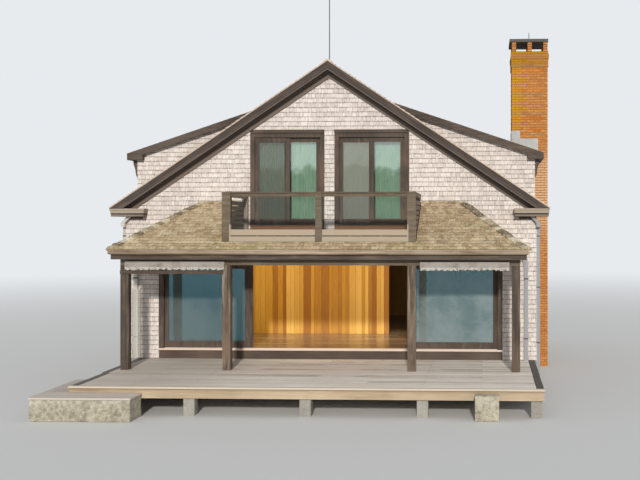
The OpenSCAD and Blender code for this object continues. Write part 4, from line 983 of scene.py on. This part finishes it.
def roll_awnings():
    """Canvas blinds: a roll under the gutter, with a ruffled edge that hangs from it."""
    turns, ribs, hem_ribs, pitch, bulges = 2.25, 40, 15, 0.009, 13
    outer, tall = 0.037, 1.4
    draw = random.Random(92)
    lo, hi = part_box("awnings")
    centre = Vector((0, hi.y - outer - 0.004, hi.z - outer * tall - 0.002))
    foot = lo.z - 0.022
    hang = centre.z - foot - 0.012
    for number, (x0, x1) in enumerate(((lo.x, -2.0), (2.275, hi.x))):
        count = int((x1 - x0) / pitch)
        bulge = [draw.uniform(-1, 1) for _ in range(bulges + 1)]
        wave = [draw.uniform(0, 6.28) for _ in range(3)]

        def point(i, j):
            x = x0 + (x1 - x0) * j / count
            soft = between(bulge, j / count * bulges)
            if i < ribs:
                radius = 0.013 + (outer - 0.0135) * i / (ribs - 1) + 0.0012 * soft * i / ribs
                turn = 2 * math.pi * turns * (1 - i / (ribs - 1))
                y, z = -radius * math.cos(turn), tall * radius * math.sin(turn)
            else:
                v = (i - ribs + 1) / hem_ribs
                ruffle = (math.sin(x * 46 + wave[0] + 1.3 * math.sin(x * 5 + wave[1]))
                          + 0.6 * math.sin(x * 85 + wave[2]) + 0.6 * math.sin(x * 139 + wave[1]))
                loose = max(0, 2 * v - 1)
                y = -outer + 0.012 * v + 0.011 * ruffle * loose
                z = -hang * v * (1 - 0.1 * soft) + 0.009 * ruffle * loose - 0.003
            return x, max(lo.y, centre.y + y), max(foot, centre.z + z)

        hang_cloth("blind", number, "awnings", ribs + hem_ribs, count + 1, point, "canvas")


def hang_screens():
    """Insect screens in front of the upper doors' left leaves."""
    frames, nets = Pile(83), Pile(84)
    lo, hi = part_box("upper_door_frames")
    z0, z1 = lo.z + 0.106, hi.z - 0.181
    for x0, x1, y in ((lo.x + 0.106, lo.x + 0.83, 0.006), (0.226, 0.95, 0.038)):
        left, right, foot, head = x0 + 0.088, x1 - 0.016, z0 + 0.16, z1 - 0.115
        for a, b, c, d, axis in ((x0, z0, left, z1, 2), (right, z0, x1, z1, 2),
                                 (left, z0, right, foot, 0), (left, head, right, z1, 0)):
            frames.board((a, y, b), (c, y + 0.018, d), axis, 0.002)
        nets.board((left, y + 0.008, foot), (right, y + 0.009, head), 2, 0.0002)
    frames.build("screen_frames", "trim_z", "trim")
    nets.build("screen_nets", "netting", "grey_metal")


# Camera, lights, world and floor
def add_object(title, data, place=(0, 0, 0), turn=(0, 0, 0), **settings):
    """An object at a place, turned by degrees, with the settings of its data."""
    for key, value in settings.items():
        setattr(data, key, value)
    made = bpy.data.objects.new(title, data)
    made.location = place
    made.rotation_euler = [math.radians(angle) for angle in turn]
    bpy.context.scene.collection.objects.link(made)
    return made


def light_and_camera():
    scene, data = bpy.context.scene, bpy.data
    scene.view_settings.view_transform = "Standard"
    scene.camera = add_object("camera", data.cameras.new("camera"), (3.71, -23.45, 3.80), (90, 0, 2.5), lens=56.05,
                              sensor_width=36, clip_end=500, shift_x=-0.192, shift_y=-0.025)
    add_object("sun", data.lights.new("sun", "SUN"), turn=(71.1, 0, 5.8), energy=2.58, angle=math.radians(3),
               color=(1.0, 0.955, 0.89))
    lamp = add_object("room_light", data.lights.new("room_light", "AREA"), (0, 0.55, DECK + 2.5), (62, 0, 0),
                      shape="RECTANGLE", size=8.0, size_y=0.5, energy=150, color=(1.0, 0.86, 0.66))
    lamp.visible_camera = lamp.visible_glossy = False

    # The world lights the house as a pale blue sky, and shows as a paler one
    scene.world = data.worlds.new("world")
    world = Paint("world", scene.world)
    background = world.nodes["Background"]
    world.put((0.86, 0.93, 1.0, 1), background.inputs["Color"])
    world.put(0.43, background.inputs["Strength"])
    surface, shown = Value(world, background.outputs[0]), world.node("Background", ("Color", SKY))
    for ray in world.node("LightPath", out=RAYS):
        surface = world.layered(ray, surface, shown)
    world.put(surface, world.nodes["World Output"].inputs["Surface"])

    # The floor fades into that sky far from the house, for the same rays
    mesh = data.meshes.new("floor")
    size, corners = 220, 96
    turns = [2 * math.pi * k / corners for k in range(corners)]
    mesh.from_pydata([(size * math.cos(turn), size * math.sin(turn), 0) for turn in turns], [], [tuple(range(corners))])
    paint = Paint("floor", Roughness=0.9)
    away = paint.node("VectorMath", (0, paint.place(1)), operation="LENGTH", out="Value")
    camera_ray, glossy_ray, transmission_ray = paint.node("LightPath", out=RAYS)
    haze = paint.node("Emission", ("Color", SKY))
    factor = away.step(12, 60) * (camera_ray | glossy_ray | transmission_ray)
    paint.show(paint.layered(factor, Value(paint, paint.shader.outputs[0]), haze))
    paint.colour = (0.76, 0.755, 0.74, 1)
    mesh.materials.append(paint.done())
    add_object("floor", mesh, (0, 2, -0.002))


light_and_camera()

shingle_paint("wall_shingle", "c6bbb4 e0d5cd f0e8e1", "92827f", 0.85, 0.55)
shingle_paint("roof_shingle", "766a60 96897e b4a89c", "665a52", ends="d6c2b0")
shingle_paint("porch_shingle", "98805e c2aa86 e2ceac", "6a5438", 0.95, 0.6,
              "a89e5c", "ece2c8", spread=0.24)
shingle_paint("cap_shingle", "74644e b6a688 e8dec6", "5c4e3a", 0.3, 0.5,
              "d6cea6", "f0ead8", spread=0.4)
brick_paint()

BROWN = "2c231d 50443b 7c6d60"
PINE = "968268 b8a488 cebea4"
FASCIA_LOW, FASCIA_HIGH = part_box("deck_fascia")
SILL_HIGH = high("door_sill").z
wood("deck_wood", "b0a296 f0e6da fffaf2", 0.26, (0.8, 16, 16), stain="e4dad0",
     stain_size=1.1, zones=[
         ("baaea2", 0.7, ("x", -0.5, -3.5)),
         # The porch boards' sides and its step down to the deck, darker: painted shade in the gaps and at the step
         ("786c62", 0.7, ("z", DECK - 0.002, DECK - 0.006), ("z", 0.3, 0.31),
          ("y", low("porch_floor").y - 0.01, low("porch_floor").y), ("y", 0.5, 0.4))])
wood("deck_edge", "4e4844 68615c 827a74",
     zones=[("d8cab6", 0.9, ("y", FASCIA_LOW.y + 0.102, FASCIA_LOW.y + 0.1))])
wood("balcony_wood", "786856 9e8e7a beae98")
wood("floor_wood", "5c4a36 867056 a68e70", roughness=0.22, bump=0.0003)
wood("panel_wood", "96601c c69434 e0b45c", 0.6, roughness=0.4, bump=0.0006)
wood("trim_x", BROWN, 0.2, axes=(1.4, 15, 15), stain="5c5046")
wood("trim_z", BROWN, 0.2, axes=(15, 15, 1.4), stain="5c4e44")
wood("cornice_wood", BROWN, axes=(1.8, 28, 28), stain="6c5f54", zones=[
    ("aca08e", 0.85, ("z", CORNICE - 0.115, CORNICE - 0.105)),
    ("887b69", 0.8, ("z", CORNICE - 0.185, CORNICE - 0.175), ("z", CORNICE - 0.14, CORNICE - 0.15)),
    # A near-black line just under the crown: painted shadow of the crown
    ("1a1410", 0.85, ("z", CORNICE - 0.14, CORNICE - 0.134), ("z", CORNICE - 0.11, CORNICE - 0.116))])
wood("door_wood", BROWN, axes=(50, 50, 2.5), stain="685446", zones=[
    # A dark band at the foot of the upper doors: painted shadow of the balcony's top rail; below it the reddish sill
    ("3c2818", 0.85, ("z", DECK + 3.32, DECK + 3.29)), ("7e583c", 0.85, ("z", DECK + 3.2, DECK + 3.17))])
wood("rake_wood", "2e2622 4c413a 706258", 0.15, (1.2, 15, 15), zones=[
    ("7a6b60", 0.75, ("y", -0.2, -0.1), ("y", REAR + 0.2, REAR + 0.1)),
    # The bead at the foot of the front verge boards, paler than the verge: painted highlight
    ("706359", 0.8, ("y", ROOF_LOW.y, ROOF_LOW.y - 0.001))])
wood("weathered_x", "4c4032 6e6150 948672", 0.2, axes=(1.2, 14, 14), stain="625442", zones=[
    # A near-black band along the beams' top, just under the gutters: painted shadow of the gutters
    ("1e1712", 0.9, ("z", low("gutters").z - 0.04, low("gutters").z - 0.032), ("z", 3.4, 3.35)),
    ("b2a28e", 0.9, ("z", BALCONY_LOW.z + 0.38, BALCONY_LOW.z + 0.37), ("side", 0.075, 0.08),
     ("side", 1.965, 1.96), ("z", 3.2, 3.3))])
wood("side_slats", "685c50 8e8072 b0a292", axes=(55, 2.5, 55))
wood("gutter_wood", "5c4c3a 9e8c77 d2c1aa", 0.15, (0.9, 13, 13), stain="a69884")
wood("post_wood", "120c08 5e5043 c4b29c", 0.1, axes=(11, 11, 0.8), stain="746252",
     zones=[("42372e", 0.55, ("wide", 3.9, 4.0))])
# The fascia's top, just under the nosing, darker: painted shadow of the nosing
wood("pale_x", "968268 beaa8e d8c6aa", axes=(1.4, 26, 26),
     zones=[("705a48", 0.7, ("z", FASCIA_HIGH.z - 0.06, FASCIA_HIGH.z - 0.054))])
wood("sill_wood", "382d26 54463c 706054", axes=(2.5, 55, 55),
     zones=[("eedaca", 0.9, ("z", SILL_HIGH - 0.062, SILL_HIGH - 0.056))])
wood("ceiling_wood", PINE, axes=(2.5, 40, 40))
wood("ceiling_boards", PINE)
wood("room_wood", "966a3c be925c d8b27e", axes=(40, 40, 2.5), roughness=0.6,
     # The walls' outer faces, seen only through the gaps between shingles, dark: painted shade in the gaps
     zones=[("3c322c", 1.0, limit) for limit in
            (("y", 0.03, 0.02), ("y", REAR - 0.03, REAR - 0.02), ("wide", HALF - 0.03, HALF - 0.02))])

mineral("concrete", "848078", "b0aca4")
mineral("mortar", "825832", "a47448", 60)
mineral("slab", "46423e", "68625c", 40)
mineral("granite", "686050", "d6ceba", 13, 0.014, "8c866e")
painted("nail_steel", "5a544e", "3c322c", metallic=0.6)
painted("lead", "b0b0ae", "929290")
painted("mast_metal", "606266", "464648", metallic=0.5)
painted("white_pipe", "e0dcd4", "beb8b0", 0.45, ribs=0.03, right="b2b2b6")
glass("window_glass", (0.42, 0.58, 0.6, 1), (0.2, 0.5, 0.64, 1), 0.14, dust_and_reflection=0.12,
      upper=((0.95, 0.98, 0.96, 1), 0.15, (0.95, 1.0, 1.0, 1), (0.14, 0.18, 0.15, 1)))
glass("panel_glass", (0.975, 0.985, 0.98, 1), (0.9, 0.97, 1.0, 1), 0.0, 1.2)
netting("netting", "80847a", "b2b4a8")
cloth("curtain_cloth", "b6ceb6", "a0bca4")
cloth("canvas", "a69e98", "84786e", "c4beb6", low("awnings").z + 0.045)

# The CAD nodes that show, each line after the name of their material
for line in """
room_wood front_wall_piers front_gable rear_gable left_wall right_wall dormer_walls dormer_cheeks panel_wall
roof_shingle main_roof_left main_roof_right dormer_roof_left dormer_roof_right
porch_shingle porch_roof_left porch_roof_right porch_roof_front
cornice_wood cornices
trim_x dormer_fascias door_head porch_frieze awning_rail deck_joists
trim_z window_frames side_lights left_door right_door
door_wood upper_door_frames
post_wood porch_posts
weathered_x porch_beams balcony_front_rail
side_slats balcony_side_rails
pale_x deck_fascia
sill_wood door_sill
ceiling_wood porch_ceiling upper_floor
concrete foundation deck_piers
mortar chimney
slab chimney_cap
lead chimney_flashing
mast_metal mast
white_pipe downspouts
window_glass window_glass left_door_glass right_door_glass
panel_glass balcony_glass
""".strip().splitlines():
    look, *nodes = line.split()
    for node in nodes:
        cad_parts[node].data.materials.clear()
        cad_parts[node].data.materials.append(LOOKS[look])

for build in (clad_walls, shingle_roofs, shingle_porch, lay_bricks, lay_deck, board_slabs, lay_floor,
              board_panel_wall, lay_gutters, board_rakes, dormer_brackets, rib_pipe, window_bars,
              rough_stones, strap_pipes, hang_screens, hang_curtains, roll_awnings):
    build()
